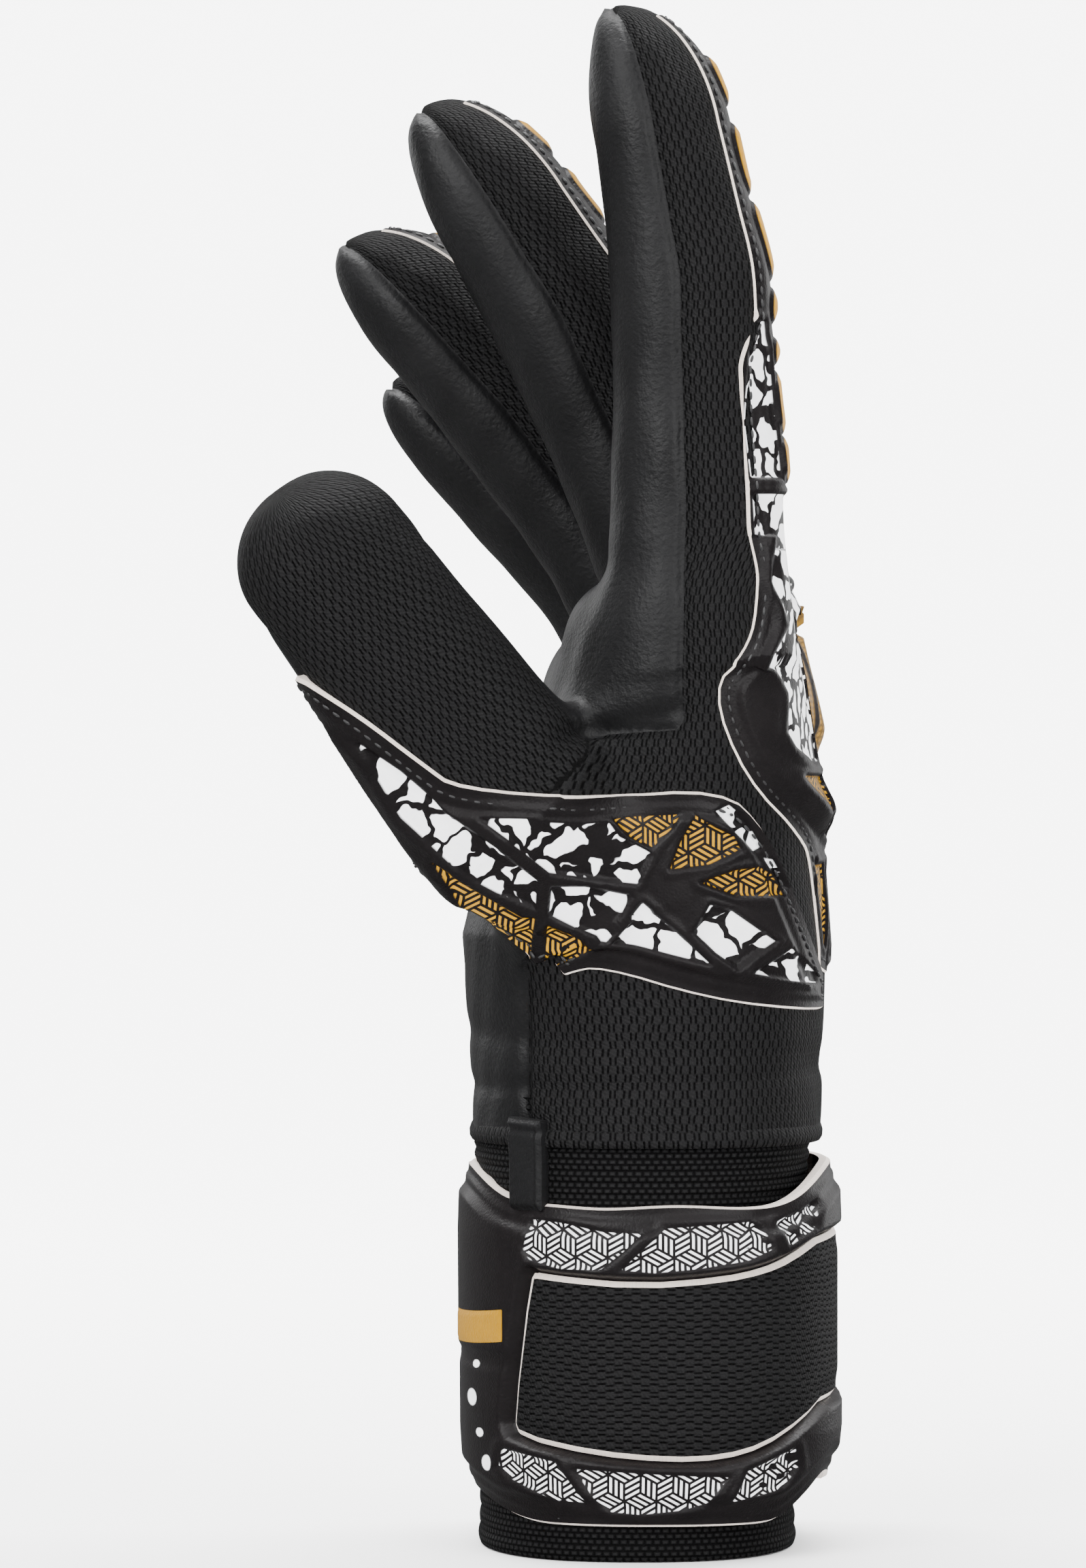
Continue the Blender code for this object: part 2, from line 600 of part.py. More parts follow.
def make_wrist():
    knit, strap = wrist_point(WRIST_LEVELS), wrist_point(STRAP_LEVELS)
    inside = wrist_point(WRIST_LEVELS, -CUFF_WALL)
    wall("cuff_knit", (0, CUFF_TOP_Z), whole_turn(FINE), knit, inside, "knit", ring=True)
    wall("wrist_bandage", (CUFF_TOP_Z + GAP, 72, HAND_BOTTOM_Z - GAP), whole_turn(FINE), knit, inside, "knit", ring=True)
    under_strap = wrist_point(WRIST_LEVELS, GAP)
    body_rows = [row[0] for row in STRAP_LEVELS]
    body = wall("strap_solid", body_rows, radians(STRAP_BODY_ANGLES, 30), strap, under_strap, "panel")
    tall = [WINDOW_Z[0], WINDOW_Z[1]]
    far = wrist_point(STRAP_LEVELS, 6.0)
    hole = wall("window_solid", tall, radians(WINDOW_ANGLES, 15), far, window_floor, "panel")
    combine("strap_body", as_solid(body), [("DIFFERENCE", as_solid(hole))], "panel")
    inset = [WINDOW_Z[0] + GAP, WINDOW_Z[1] - GAP]
    narrower = (WINDOW_ANGLES[0] + 0.6, WINDOW_ANGLES[1] - 0.6)
    wall(
        "strap_mesh_inset", inset, radians(narrower, 15), wrist_point(STRAP_LEVELS, -0.9),
        wrist_point(WRIST_LEVELS, WINDOW_FLOOR + 2 * GAP), "mesh",
    )
    wall(
        "strap_label", LABEL_Z, radians(LABEL_ANGLES, 5), wrist_point(STRAP_LEVELS, 0.9),
        wrist_point(STRAP_LEVELS, GAP), "label",
    )
    wall(
        "pull_tab", (PULL_TAB_Z[0], 81.0, PULL_TAB_Z[1]), radians(PULL_TAB_ANGLES, 2), wrist_point(WRIST_LEVELS, 2.4),
        wrist_point(WRIST_LEVELS, 0.9), "latex",
    )
    wall("loop_patch", TAB_Z, radians(LOOP_ANGLES, 14), wrist_point(WRIST_LEVELS, 1.3), under_strap, "hook")
    root_angle = math.radians((TAB_ANGLES[1] + STRAP_BODY_ANGLES[0]) / 2)
    hinge = pivot("strap_tab", wrist_point(STRAP_LEVELS)(TAB_Z[0], root_angle))
    wall(
        "hook_patch", (TAB_Z[0] + 3, TAB_Z[1] - 3), radians(HOOK_ANGLES, 7), wrist_point(WRIST_LEVELS, 2.6),
        wrist_point(WRIST_LEVELS, 1.3 + GAP), "hook", hinge,
    )
    wall(
        "strap_tab", TAB_Z, radians(TAB_ANGLES, 15), strap, wrist_point(WRIST_LEVELS, 2.6 + GAP), "panel", hinge,
    )


def main():
    clear_scene()
    make_wrist()
    make_hand()
    for name, finger in FINGERS.items():
        make_finger(name, finger)
    make_thumb()


main()
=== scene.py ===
"""Looks of the goalkeeper glove: fine skin, embossed panels, knit, strap, stitching, studio and camera.

Shapes are worked out in the layout frame, in millimetres: origin in the middle of the cuff's bottom
rim, +X the back of the hand, -Y the thumb side, +Z the way the fingers point. SHIFT brings them to
the CAD's frame, and the joints' places are read from the record.
"""
import json
import math

import bpy
import numpy as np
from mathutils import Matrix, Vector


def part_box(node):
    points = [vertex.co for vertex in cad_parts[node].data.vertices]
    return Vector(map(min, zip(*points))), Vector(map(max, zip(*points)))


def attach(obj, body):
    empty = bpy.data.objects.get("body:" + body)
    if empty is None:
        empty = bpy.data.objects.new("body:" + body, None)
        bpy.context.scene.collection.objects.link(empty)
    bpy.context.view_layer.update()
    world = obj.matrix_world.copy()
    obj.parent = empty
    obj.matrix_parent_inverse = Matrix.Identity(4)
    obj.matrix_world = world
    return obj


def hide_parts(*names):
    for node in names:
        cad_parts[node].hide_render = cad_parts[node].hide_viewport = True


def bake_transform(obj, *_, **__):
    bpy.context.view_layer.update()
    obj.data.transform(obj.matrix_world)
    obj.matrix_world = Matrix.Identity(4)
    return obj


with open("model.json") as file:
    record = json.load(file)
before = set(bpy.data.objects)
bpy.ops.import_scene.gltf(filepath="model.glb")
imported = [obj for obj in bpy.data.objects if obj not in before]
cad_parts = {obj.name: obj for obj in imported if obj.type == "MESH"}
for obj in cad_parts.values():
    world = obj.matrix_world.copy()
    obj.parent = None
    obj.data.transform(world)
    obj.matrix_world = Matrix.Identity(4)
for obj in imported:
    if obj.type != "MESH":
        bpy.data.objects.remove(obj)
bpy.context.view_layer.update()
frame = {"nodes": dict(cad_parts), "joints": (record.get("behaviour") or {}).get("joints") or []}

VOXEL = 0.8          # mm, grid that the skin is taken from
WIDTH_CENTRE_Y = -1.3
cuff_low, cuff_high = (np.array(corner) * 1000 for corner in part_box("cuff_knit"))
SHIFT = np.array([(cuff_low[0] + cuff_high[0]) / 2, (cuff_low[1] + cuff_high[1]) / 2 - WIDTH_CENTRE_Y, 0.0])
JOINT = {j["name"]: np.array(j["pos_m"]) * 1000 - SHIFT for j in frame["joints"]}

# ------------------------------------------------------------------ numbers of the shape, in mm
WRIST = np.array([[0, -28.7, 28.7, 40], [56, -28.7, 29.2, 40], [72, -29.2, 31, 40.5], [84, -30, 31.8, 42]])
STRAP = np.array([
    [6, -30.0, 34.8, 43.2], [12, -31.4, 36.3, 44.0], [22, -32.0, 37.4, 44.4], [58, -32.2, 37.4, 44.4],
    [71, -31.8, 36.9, 43.6],
])
HAND = np.array([
    [70, -29.9, 33.0, 41.9], [82, -29.9, 33.4, 41.9], [98, -30.8, 34.0, 43], [112, -31.8, 34.4, 45],
    [128, -27.4, 34.2, 47.5], [144, -21.5, 33.4, 49.3], [158, -17.5, 31.4, 50.2], [184, -12, 26.8, 50.2],
    [230, -6, 22, 50.2],
])
TAPER_Z, TAPER_X = (110, 184), (0, 15)
DROP_Z, DROP = (130, 184), (0, 8)
HEM = 75.0                         # the hand's cloth ends here, over the bandage
HAND_POWER, FINGER_POWER = 2.4, 2.25
NAMES = ("index", "middle", "ring", "little")
HALF_WIDTH = (12.1, 11.85, 11.5, 11.0)
DEPTHS = ((15.2, 13.2, 11.6), (14.6, 13.5, 12.4), (13.7, 12.7, 11.8), (11.6, 10.8, 10.3))
TIP_TILT = (10.5, 32, 42, 44)
TIP_SPAN = (49.5, 45, 43.4, 34)
TIP_LENGTH = (24, 26, 24, 20)
TIP_LEAN = (4.6, 3.3, 3.2, 3.8)
BACK_SHIFT = (0.3, 0.8, 1.3, 1.9)       # the fingers' middle line against the joints, towards the back
SLAB_EDGES = (-25.55, 0.15, 25.1)
THUMB_END = np.array([-56.0, -66.0, 180.0])
THUMB_AT = (-38, -15, 0, 25, 43)
THUMB_WIDTH = (13.4, 18.8, 17.6, 16.2, 15.3)
THUMB_DEPTH = (6, 14, 13.4, 13, 12.6)
THUMB_TIP = 13.8
CAP_BELOW = 6.5                    # the hand's solid ends this far below the knuckles
SPLIT_AT = 1.0                     # a finger's own piece starts this far past its knuckle

PALM_EDGE = ((-120, 60), (-20.5, 60), (-20.5, 112), (-8, 128), (7.5, 151), (8, 230), (-120, 230))
THUMB_MESH = ((-110, 112), (60, 112), (60, 151), (-9, 149), (-110, 270))
BACK_EDGE = (
    (70, 103), (32.6, 103), (32.3, 112), (31.0, 126), (29.2, 130), (18.3, 141), (12.5, 156.5),
    (18.4, 163), (20.6, 170), (21, 188), (21, 240), (70, 240),
)
LEAF = (
    (-64, 161.5), (-49, 151.6), (-38.5, 143.3), (-32.4, 138.8), (-8.3, 136.9), (14.3, 138.8),
    (21.9, 131.3), (27.9, 117.7), (34.5, 100.2), (33, 98.6), (11.4, 101.8), (-6.8, 107.5),
    (-12.8, 106.4), (-20, 102.6), (-31.7, 110.3), (-44, 128), (-70, 156),
)
LEAF_WHITE = (
    ((-49.4, 147.6), (-42.2, 142.5), (-34.4, 135.7), (-25.1, 128.8), (-19, 123.8), (-19.1, 119.1),
     (-25.7, 122), (-31.9, 125.7), (-37.6, 131.3), (-41.3, 135), (-46.3, 143.2)),
    ((-28.4, 134.3), (-11.1, 133.2), (-6.7, 133.2), (-4.5, 130.6), (1.4, 127.6), (-0.8, 122.5),
     (-7.4, 123.4), (-17, 125.1), (-21.8, 129.1)),
    ((-16.4, 122.5), (-10.4, 122.1), (-1.9, 120.3), (-3.7, 116.6), (-6.3, 112.5), (-11.1, 114.7),
     (-16.4, 117.7)),
    ((0.3, 118.9), (5.9, 114), (11.8, 108.1), (2.9, 110.3), (-4.8, 112.2), (-2.2, 115.8)),
    ((11.8, 118.4), (15.5, 117.3), (22.8, 111.8), (19.2, 109.2), (16.6, 107), (12.9, 109.9),
     (9.4, 113.6)),
    ((25.8, 110.3), (31.3, 105.5), (31.3, 103.7), (25.8, 104.4), (19.2, 105.9), (22.8, 108.1)),
    ((13.2, 135), (15.5, 136), (18, 133.9), (21, 128.7), (19.5, 127.9), (16.2, 131.3)),
    ((21.4, 126.6), (23.2, 126.2), (25.9, 121.4), (24.5, 121.7)),
)
LEAF_GOLD = (
    ((-5.6, 133.5), (7, 134.5), (5.5, 132.1), (1.4, 128.4), (-2.6, 130.6)),
    ((9.6, 134.3), (12.9, 132.1), (15.8, 130.6), (16.8, 128.4), (11.8, 125.8), (5, 124.7), (7, 129.5)),
    ((10.3, 122.5), (16.2, 124.7), (20.3, 125.1), (22.8, 123.6), (24.9, 119.9), (16.2, 120.3)),
    ((-35.8, 126.9), (-31, 123.5), (-21.3, 117.3), (-19, 117), (-19.5, 105.1), (-20.7, 105.1),
     (-27.6, 114.5)),
    ((-16.6, 115.5), (-8.5, 111), (-11.1, 109.2), (-17, 106.6)),
)
# Strap prints on the thumb side, x against z
STRAP_BLOCKS = (
    ((-19.7, 61.4), (-14.2, 60.9), (-7.1, 59.5), (0.3, 59.2), (-3, 56.1), (-7.1, 52.8), (-14.2, 52.8),
     (-19.7, 54.3), (-20.7, 56.1)),
    ((-3.3, 52.8), (4.6, 60.1), (20.3, 61.1), (22.8, 59.1), (23.6, 56.1), (19.3, 54.3), (10.2, 53),
     (2.6, 52.3)),
    ((25.2, 60.9), (32.8, 64.2), (32, 59.6), (27, 56.6)),
    ((-24.3, 19.8), (-15.2, 18.1), (-9.8, 11), (-15.2, 11.2), (-22.8, 14.5), (-24.8, 16.5)),
    ((-11.6, 17), (15.7, 15.5), (12.2, 11), (7.6, 9.7), (0, 8.9), (-5.5, 9.4), (-8.1, 11.7)),
    ((19.3, 16.5), (27.9, 20.1), (28.4, 16.5), (25.4, 13), (16.8, 11)),
)
STRAP_DOTS = (
    (-29.0, 34.4, 0.6, 0.7), (-29.6, 28.2, 0.8, 1.5), (-28.2, 22.1, 0.65, 0.8), (-26.9, 16.8, 0.9, 1.4),
)
INSET = (
    (-20, 51.5), (-18.7, 51), (0, 49.6), (15.2, 50.7), (22.8, 52), (27.9, 53.8), (34.5, 57.6), (60, 60),
    (60, 30), (35, 29.2), (30.4, 25.2), (22.8, 21.1), (15.2, 19.3), (5.1, 19), (-8.1, 20.1),
    (-22.3, 22.6), (-23.3, 25.1),
)
# The backhand's windows: on the back, y from its middle line against z, and where the panel comes
# round to the thumb side, x against z
BACK_WHITE = (
    ((23.5, 176), (41, 174), (40, 160), (37, 147), (25, 147), (24.5, 160)),
    ((3, 176), (19, 178), (20, 170), (12, 164), (3, 165)),
    ((3, 141), (22, 142), (20, 131), (3, 129)),
)
BACK_GOLD = (
    ((3, 125), (12, 125), (9, 108), (3, 108)),
    ((14, 125), (23, 125), (17, 111), (14, 110)),
    ((24, 143), (33, 144), (28, 133), (24, 130)),
)
NEAR_WHITE = (
    (23.5, 190), (27.5, 190), (28.4, 175.5), (28.6, 168.5), (33, 166), (36, 158), (36, 150), (33.3, 145.2),
    (29.3, 143.4), (26.4, 146.1), (24.7, 149.1), (24.7, 155.9), (22.3, 161.8), (25.2, 168.1), (22.8, 176),
)
NEAR_GOLD = (
    ((27.8, 141.2), (33.2, 140.4), (35.2, 134), (33.4, 130.6), (31, 134.5)),
    ((33.6, 128), (37, 128), (37, 117), (34.8, 117)),
)
GUARD = ((-22, 152), (-20, 172), (0, 175), (20, 172), (22, 152), (18, 146), (0, 143), (-18, 146))
# Raised gold ribs along a finger: start, end and half width, for a finger RIB_LENGTH long
RIB_LENGTH = 96.5
GOLD_RIBS = ((9.5, 17.2, 3.2), (18.2, 29, 3.2), (31, 35, 2.0), (38.6, 43.4, 2.3), (45.4, 57.6, 3.0),
             (59.6, 72, 2.8), (76, 84.5, 2.3))
FAR = 50.0                         # a print's distance where there is none
STITCH_PITCH, STITCH_LENGTH, STITCH_RADIUS, STITCH_SIDES = 2.3, 1.5, 0.28, 6
TAB_GOLD = (((-20, 60), (14, 60), (6, 52), (-20, 54)), ((-20, 24), (4, 24), (14, 31), (-20, 30)))
TAB_BLOCKS = (((-20, 48), (2, 48), (-4, 36), (-20, 36)),)


# ------------------------------------------------------------------ small mathematics

def smooth(t):
    t = np.clip(t, 0, 1)
    return t * t * (3 - 2 * t)


def smin(a, b, k):
    h = np.clip(0.5 + 0.5 * (b - a) / k, 0, 1)
    return b * (1 - h) + a * h - k * h * (1 - h)


def smax(a, b, k):
    return -smin(-a, -b, k)


def unit(v):
    return v / np.maximum(np.linalg.norm(v, axis=-1, keepdims=True), 1e-9)


def polygon(x, y, corners):
    """Signed distance to a polygon, negative inside."""
    corners = np.array(corners, float)
    best = np.full(x.shape, 1e9)
    inside = np.zeros(x.shape, bool)
    for a, b in zip(corners, np.roll(corners, -1, axis=0)):
        ex, ey = b - a
        wx, wy = x - a[0], y - a[1]
        t = np.clip((wx * ex + wy * ey) / (ex * ex + ey * ey), 0, 1)
        best = np.minimum(best, (wx - t * ex) ** 2 + (wy - t * ey) ** 2)
        crosses = (a[1] > y) != (b[1] > y)
        inside ^= crosses & (x < ex * (y - a[1]) / (ey if ey else 1e-9) + a[0])
    return np.sqrt(best) * np.where(inside, -1, 1)


def polygons(x, y, many):
    return np.min([polygon(x, y, corners) for corners in many], axis=0)


def chaikin(corners, times=2):
    """Round a closed polygon's corners."""
    p = np.array(corners, float)
    for _ in range(times):
        after = np.roll(p, -1, axis=0)
        p = np.stack([p * 0.75 + after * 0.25, p * 0.25 + after * 0.75], 1).reshape(-1, 2)
    return p


def oval_field(u, a, v, b, power):
    """Superellipse level, 1 on the curve, and its gradient's length."""
    x, y = np.abs(u) / a + 1e-6, np.abs(v) / b + 1e-6
    k = (x ** power + y ** power) ** (1 / power)
    grow = k ** (1 - power)
    return k, np.hypot(grow * x ** (power - 1) / a, grow * y ** (power - 1) / b)


def arc_length(line):
    return np.concatenate([[0], np.cumsum(np.linalg.norm(np.diff(line, axis=0), axis=1))])


# ------------------------------------------------------------------ the glove's body as a distance field

class Finger:
    def __init__(self, i):
        self.name = NAMES[i]
        self.k0, self.k1 = JOINT[self.name + "_knuckle"], JOINT[self.name + "_middle_joint"]
        self.length = np.linalg.norm(self.k1 - self.k0)
        self.al0 = (self.k1 - self.k0) / self.length
        self.bk0 = np.array([self.al0[2], 0, -self.al0[0]])
        tilt = math.radians(TIP_TILT[i])
        self.al1 = np.array([-math.sin(tilt), 0, math.cos(tilt)])
        self.bk1 = np.array([math.cos(tilt), 0, math.sin(tilt)])
        self.width, self.depths, self.tip = HALF_WIDTH[i], DEPTHS[i], TIP_LENGTH[i]
        self.lean, self.shift = TIP_LEAN[i], BACK_SHIFT[i]
        self.straight = self.length + TIP_SPAN[i] - self.tip

    def coords(self, P):
        """Distance along, across and back of points; along counts from the knuckle."""
        q0, q1 = P - self.k0, P - self.k1
        w0, w1 = q0 @ self.al0, q1 @ self.al1
        t = smooth((w0 - self.length + w1) / 2 / 20 + 0.5)
        back = (q0 @ self.bk0) * (1 - t) + (q1 @ self.bk1) * t
        return w0 * (1 - t) + (self.length + w1) * t, q0[:, 1], back

    def shape(self, P):
        w, u, v = self.coords(P)
        depth = np.interp(w, (0, self.length, self.straight), self.depths)
        # slightly narrower between the joints and fuller at them
        swell = (0.35 * np.exp(-((w - self.length) / 9) ** 2)
                 - 0.35 * np.exp(-((w - self.length / 2) / 10) ** 2))
        rise = np.clip(w - self.straight, 0, None) / self.tip
        shrink = np.sqrt(np.clip(1 - rise * rise, 0, 1))
        vv = v + self.lean * (1 - shrink) - self.shift * smooth((w + 4) / 14)
        k2, g2 = oval_field(u, self.width + swell, vv, depth + swell, FINGER_POWER)
        k = np.hypot(k2, rise)
        d = (k - 1) / np.hypot(k2 / k * g2, rise / k / self.tip)
        return np.maximum(d, -22 - w), w, u, vv, depth, shrink, rise


FINGERS = [Finger(i) for i in range(4)]
THUMB_ROOT = JOINT["thumb_root"]
THUMB_LENGTH = np.linalg.norm(THUMB_END - THUMB_ROOT)
TH_AL = (THUMB_END - THUMB_ROOT) / THUMB_LENGTH
TH_AC = unit(np.array([TH_AL[2], 0, -TH_AL[0]]))
TH_BK = np.cross(TH_AL, TH_AC)
THUMB_TIP_JOINT = float((JOINT["thumb_joint"] - THUMB_ROOT) @ TH_AL)


def thumb_shape(P):
    q = P - THUMB_ROOT
    w, u, v = q @ TH_AL, q @ TH_AC, q @ TH_BK
    width, depth = np.interp(w, THUMB_AT, THUMB_WIDTH), np.interp(w, THUMB_AT, THUMB_DEPTH)
    rise = np.clip(w - THUMB_LENGTH, 0, None) / THUMB_TIP
    k2, g2 = oval_field(u, width, v, depth, FINGER_POWER)
    k = np.hypot(k2, rise)
    d = (k - 1) / np.hypot(k2 / k * g2, rise / k / THUMB_TIP)
    return np.maximum(d, THUMB_AT[0] - w), w, u, v, depth


def hand_shape(P):
    x, y, z = P.T
    share = np.clip((y - FINGERS[0].k0[1]) / (FINGERS[3].k0[1] - FINGERS[0].k0[1]), 0, 1.1)
    z = z + np.interp(z, DROP_Z, DROP) * share
    low, high, half = (np.interp(z, HAND[:, 0], HAND[:, c]) for c in (1, 2, 3))
    part = np.interp(z, TAPER_Z, TAPER_X) * share / (high - low)
    x = (x - part * low) / (1 - part)
    centre = (low + high) / 2
    k, g = oval_field(x - centre, (high - low) / 2, y - WIDTH_CENTRE_Y, half, HAND_POWER)
    return (k - 1) / g, x, z, np.arctan2((y - WIDTH_CENTRE_Y) / half, (x - centre) / (high - low) * 2)


def along_fingers(P):
    """Distance past the knuckles, blended from finger to finger."""
    y = P[:, 1]
    w = (P - FINGERS[0].k0) @ FINGERS[0].al0
    for finger, edge in zip(FINGERS[1:], SLAB_EDGES):
        t = smooth((y - edge) / 7 + 0.5)
        w = w * (1 - t) + ((P - finger.k0) @ finger.al0) * t
    return w


def ripple(P):
    """Slight unevenness of worn foam and cloth."""
    x, y, z = P.T
    return (0.22 * np.sin(x * 0.23 + z * 0.14 + 1) * np.sin(y * 0.19 + z * 0.1)
            + 0.12 * np.sin(x * 0.41 - y * 0.33 + 2) * np.sin(z * 0.31 + y * 0.2))


def creases(P):
    """Folds: under the index finger's pad, between thumb and palm, and above the wrist."""
    x, y, z = P.T
    fold = 1.1 * np.exp(-((z - 151 - 0.22 * x) / 2.2) ** 2)
    fold = fold * smooth((-28 - y) / 10) * smooth((12 - x) / 8) * smooth((x + 18) / 6)
    fold += 0.5 * np.exp(-((z - 86 - 0.05 * x) / 1.8) ** 2)
    fold += 0.45 * np.exp(-((z - 92.5 + 0.07 * x) / 2.4) ** 2)
    return fold


def skin_field(P):
    hand = hand_shape(P)[0]
    d = smax(hand, along_fingers(P) + CAP_BELOW, 11)
    d = smin(d, thumb_shape(P)[0], 9)
    body = d.copy()
    for finger in FINGERS:
        near = np.abs(P[:, 1] - finger.k0[1]) < 24
        if near.any():
            d[near] = np.minimum(d[near], smin(body[near], finger.shape(P[near])[0], 4.5))
    return d + creases(P) - ripple(P)


def gradient(P, step=0.05):
    base = skin_field(P)
    g = np.stack([skin_field(P + step * np.eye(3)[k]) - base for k in range(3)], 1) / step
    return base, g


def settle(P, rounds=2):
    """Move points onto the skin; their normals come with them."""
    for _ in range(rounds):
        d, g = gradient(P)
        P = P - g * (np.clip(d, -1, 1) / np.maximum((g * g).sum(1), 0.2))[:, None]
    return P, unit(gradient(P)[1])


def surface_nets(F, origin, h):
    """Quads, as triangle pairs, round the zero level of a grid of values."""
    inside = F < 0
    corners = [(i, j, k) for i in (0, 1) for j in (0, 1) for k in (0, 1)]
    nx, ny, nz = (n - 1 for n in F.shape)
    count = sum(inside[i:i + nx, j:j + ny, k:k + nz].astype(np.uint8) for i, j, k in corners)
    active = (count > 0) & (count < 8)
    index = np.argwhere(active)
    values = np.stack([F[index[:, 0] + i, index[:, 1] + j, index[:, 2] + k] for i, j, k in corners], 1)
    total, hits = np.zeros((len(index), 3)), np.zeros(len(index))
    for a in range(8):
        for b in range(a + 1, 8):
            ca, cb = np.array(corners[a], float), np.array(corners[b], float)
            if abs(ca - cb).sum() != 1:
                continue
            fa, fb = values[:, a], values[:, b]
            cut = (fa < 0) != (fb < 0)
            t = np.where(cut, fa / np.where(cut, fa - fb, 1), 0)
            total += (ca + t[:, None] * (cb - ca)) * cut[:, None]
            hits += cut
    points = (index + total / hits[:, None]) * h + origin
    ids = np.full(active.shape, -1, np.int64)
    ids[active] = np.arange(len(index))
    quads = []
    for a in range(3):
        b, c = (a + 1) % 3, (a + 2) % 3
        first = [slice(1, -1)] * 3
        first[a] = slice(0, -1)
        second = list(first)
        second[a] = slice(1, None)
        low, high = inside[tuple(first)], inside[tuple(second)]
        for flip, mask in ((False, low & ~high), (True, ~low & high)):
            at = np.argwhere(mask)
            at[:, b] += 1
            at[:, c] += 1
            ring = []
            for ob, oc in ((-1, -1), (0, -1), (0, 0), (-1, 0)):
                cell = at.copy()
                cell[:, b] += ob
                cell[:, c] += oc
                ring.append(ids[cell[:, 0], cell[:, 1], cell[:, 2]])
            quads.append(np.stack(ring[::-1] if flip else ring, 1))
    quads = np.concatenate(quads)
    return points, np.concatenate([quads[:, [0, 1, 2]], quads[:, [0, 2, 3]]])


def make_skin():
    low, high = np.array([-76.0, -84.0, 71.0]), np.array([40.0, 56.0, 284.0])
    block = 6
    size = (np.ceil((high - low) / VOXEL / block).astype(int) + 1) * block
    axes = [low[k] + VOXEL * np.arange(size[k]) for k in range(3)]
    coarse = [axis[block // 2::block] for axis in axes]
    C = np.stack(np.meshgrid(*coarse, indexing="ij"), -1)
    rough = skin_field(C.reshape(-1, 3)).reshape(C.shape[:3])
    F = rough
    for k in range(3):
        F = np.repeat(F, block, axis=k)
    near = np.argwhere(np.abs(F) < VOXEL * block * 1.25 + 2)
    P = near * VOXEL + low
    F[near[:, 0], near[:, 1], near[:, 2]] = skin_field(P)
    V, T = surface_nets(F, low, VOXEL)
    V, N = settle(V)
    return V, T, N


# ------------------------------------------------------------------ triangle meshes with fields

def clip(T, f, *fields):
    """Cut triangles along f = 0 and keep f <= 0. fields are per-point arrays, cut along with it."""
    inside = f <= 0
    n = inside[T].sum(1)
    cut = T[(n == 1) | (n == 2)]
    one = inside[cut].sum(1) == 1
    odd = np.where(one[:, None], inside[cut], ~inside[cut]).argmax(1)
    rolled = np.take_along_axis(cut, (odd[:, None] + np.arange(3)) % 3, 1)
    a, b, c = rolled.T
    pairs = np.concatenate([np.stack([a, b], 1), np.stack([a, c], 1)])
    key = np.sort(pairs, 1)
    _, first, back = np.unique(key[:, 0] * len(f) + key[:, 1], return_index=True, return_inverse=True)
    p, q = key[first].T
    t = f[p] / np.where(f[p] == f[q], 1, f[p] - f[q])
    new = [np.concatenate([x, x[p] + (x[q] - x[p]) * (t if x.ndim == 1 else t[:, None])]) for x in fields]
    ab, ac = back[:len(a)] + len(f), back[len(a):] + len(f)
    T = np.concatenate([
        T[n == 3], np.stack([a, ab, ac], 1)[one],
        np.stack([ab, b, c], 1)[~one], np.stack([ab, c, ac], 1)[~one],
    ])
    used, flat = np.unique(T, return_inverse=True)
    T = flat.reshape(-1, 3)
    good = (T[:, 0] != T[:, 1]) & (T[:, 1] != T[:, 2]) & (T[:, 0] != T[:, 2])
    return (T[good], *[x[used] for x in new])


def refine(V, T):
    """Four triangles from each."""
    edges = np.sort(np.concatenate([T[:, [0, 1]], T[:, [1, 2]], T[:, [2, 0]]]), 1)
    key, back = np.unique(edges[:, 0] * len(V) + edges[:, 1], return_inverse=True)
    middle = (V[key // len(V)] + V[key % len(V)]) / 2
    ab, bc, ca = back.reshape(3, -1) + len(V)
    a, b, c = T.T
    T = np.concatenate([np.stack(t, 1) for t in ((a, ab, ca), (ab, b, bc), (ca, bc, c), (ab, bc, ca))])
    return np.concatenate([V, middle]), T


def rim(T):
    """Directed edges that only one triangle has."""
    edges = np.concatenate([T[:, [0, 1]], T[:, [1, 2]], T[:, [2, 0]]])
    big = T.max() + 1
    there = edges[:, 0] * big + edges[:, 1]
    back = edges[:, 1] * big + edges[:, 0]
    return edges[~np.isin(there, back)]


def vertex_normals(V, T):
    face = np.cross(V[T[:, 1]] - V[T[:, 0]], V[T[:, 2]] - V[T[:, 0]])
    N = np.zeros_like(V)
    for k in range(3):
        for c in range(3):
            N[:, c] += np.bincount(T[:, k], face[:, c], len(V))
    return unit(N)


def loops(edges):
    """Closed chains of directed edges."""
    after = dict(edges.tolist())
    found = []
    while after:
        start, here = next(iter(after.items()))
        chain = [start]
        del after[start]
        while here in after:
            chain.append(here)
            here = after.pop(here)
        found.append(np.array(chain))
    return found


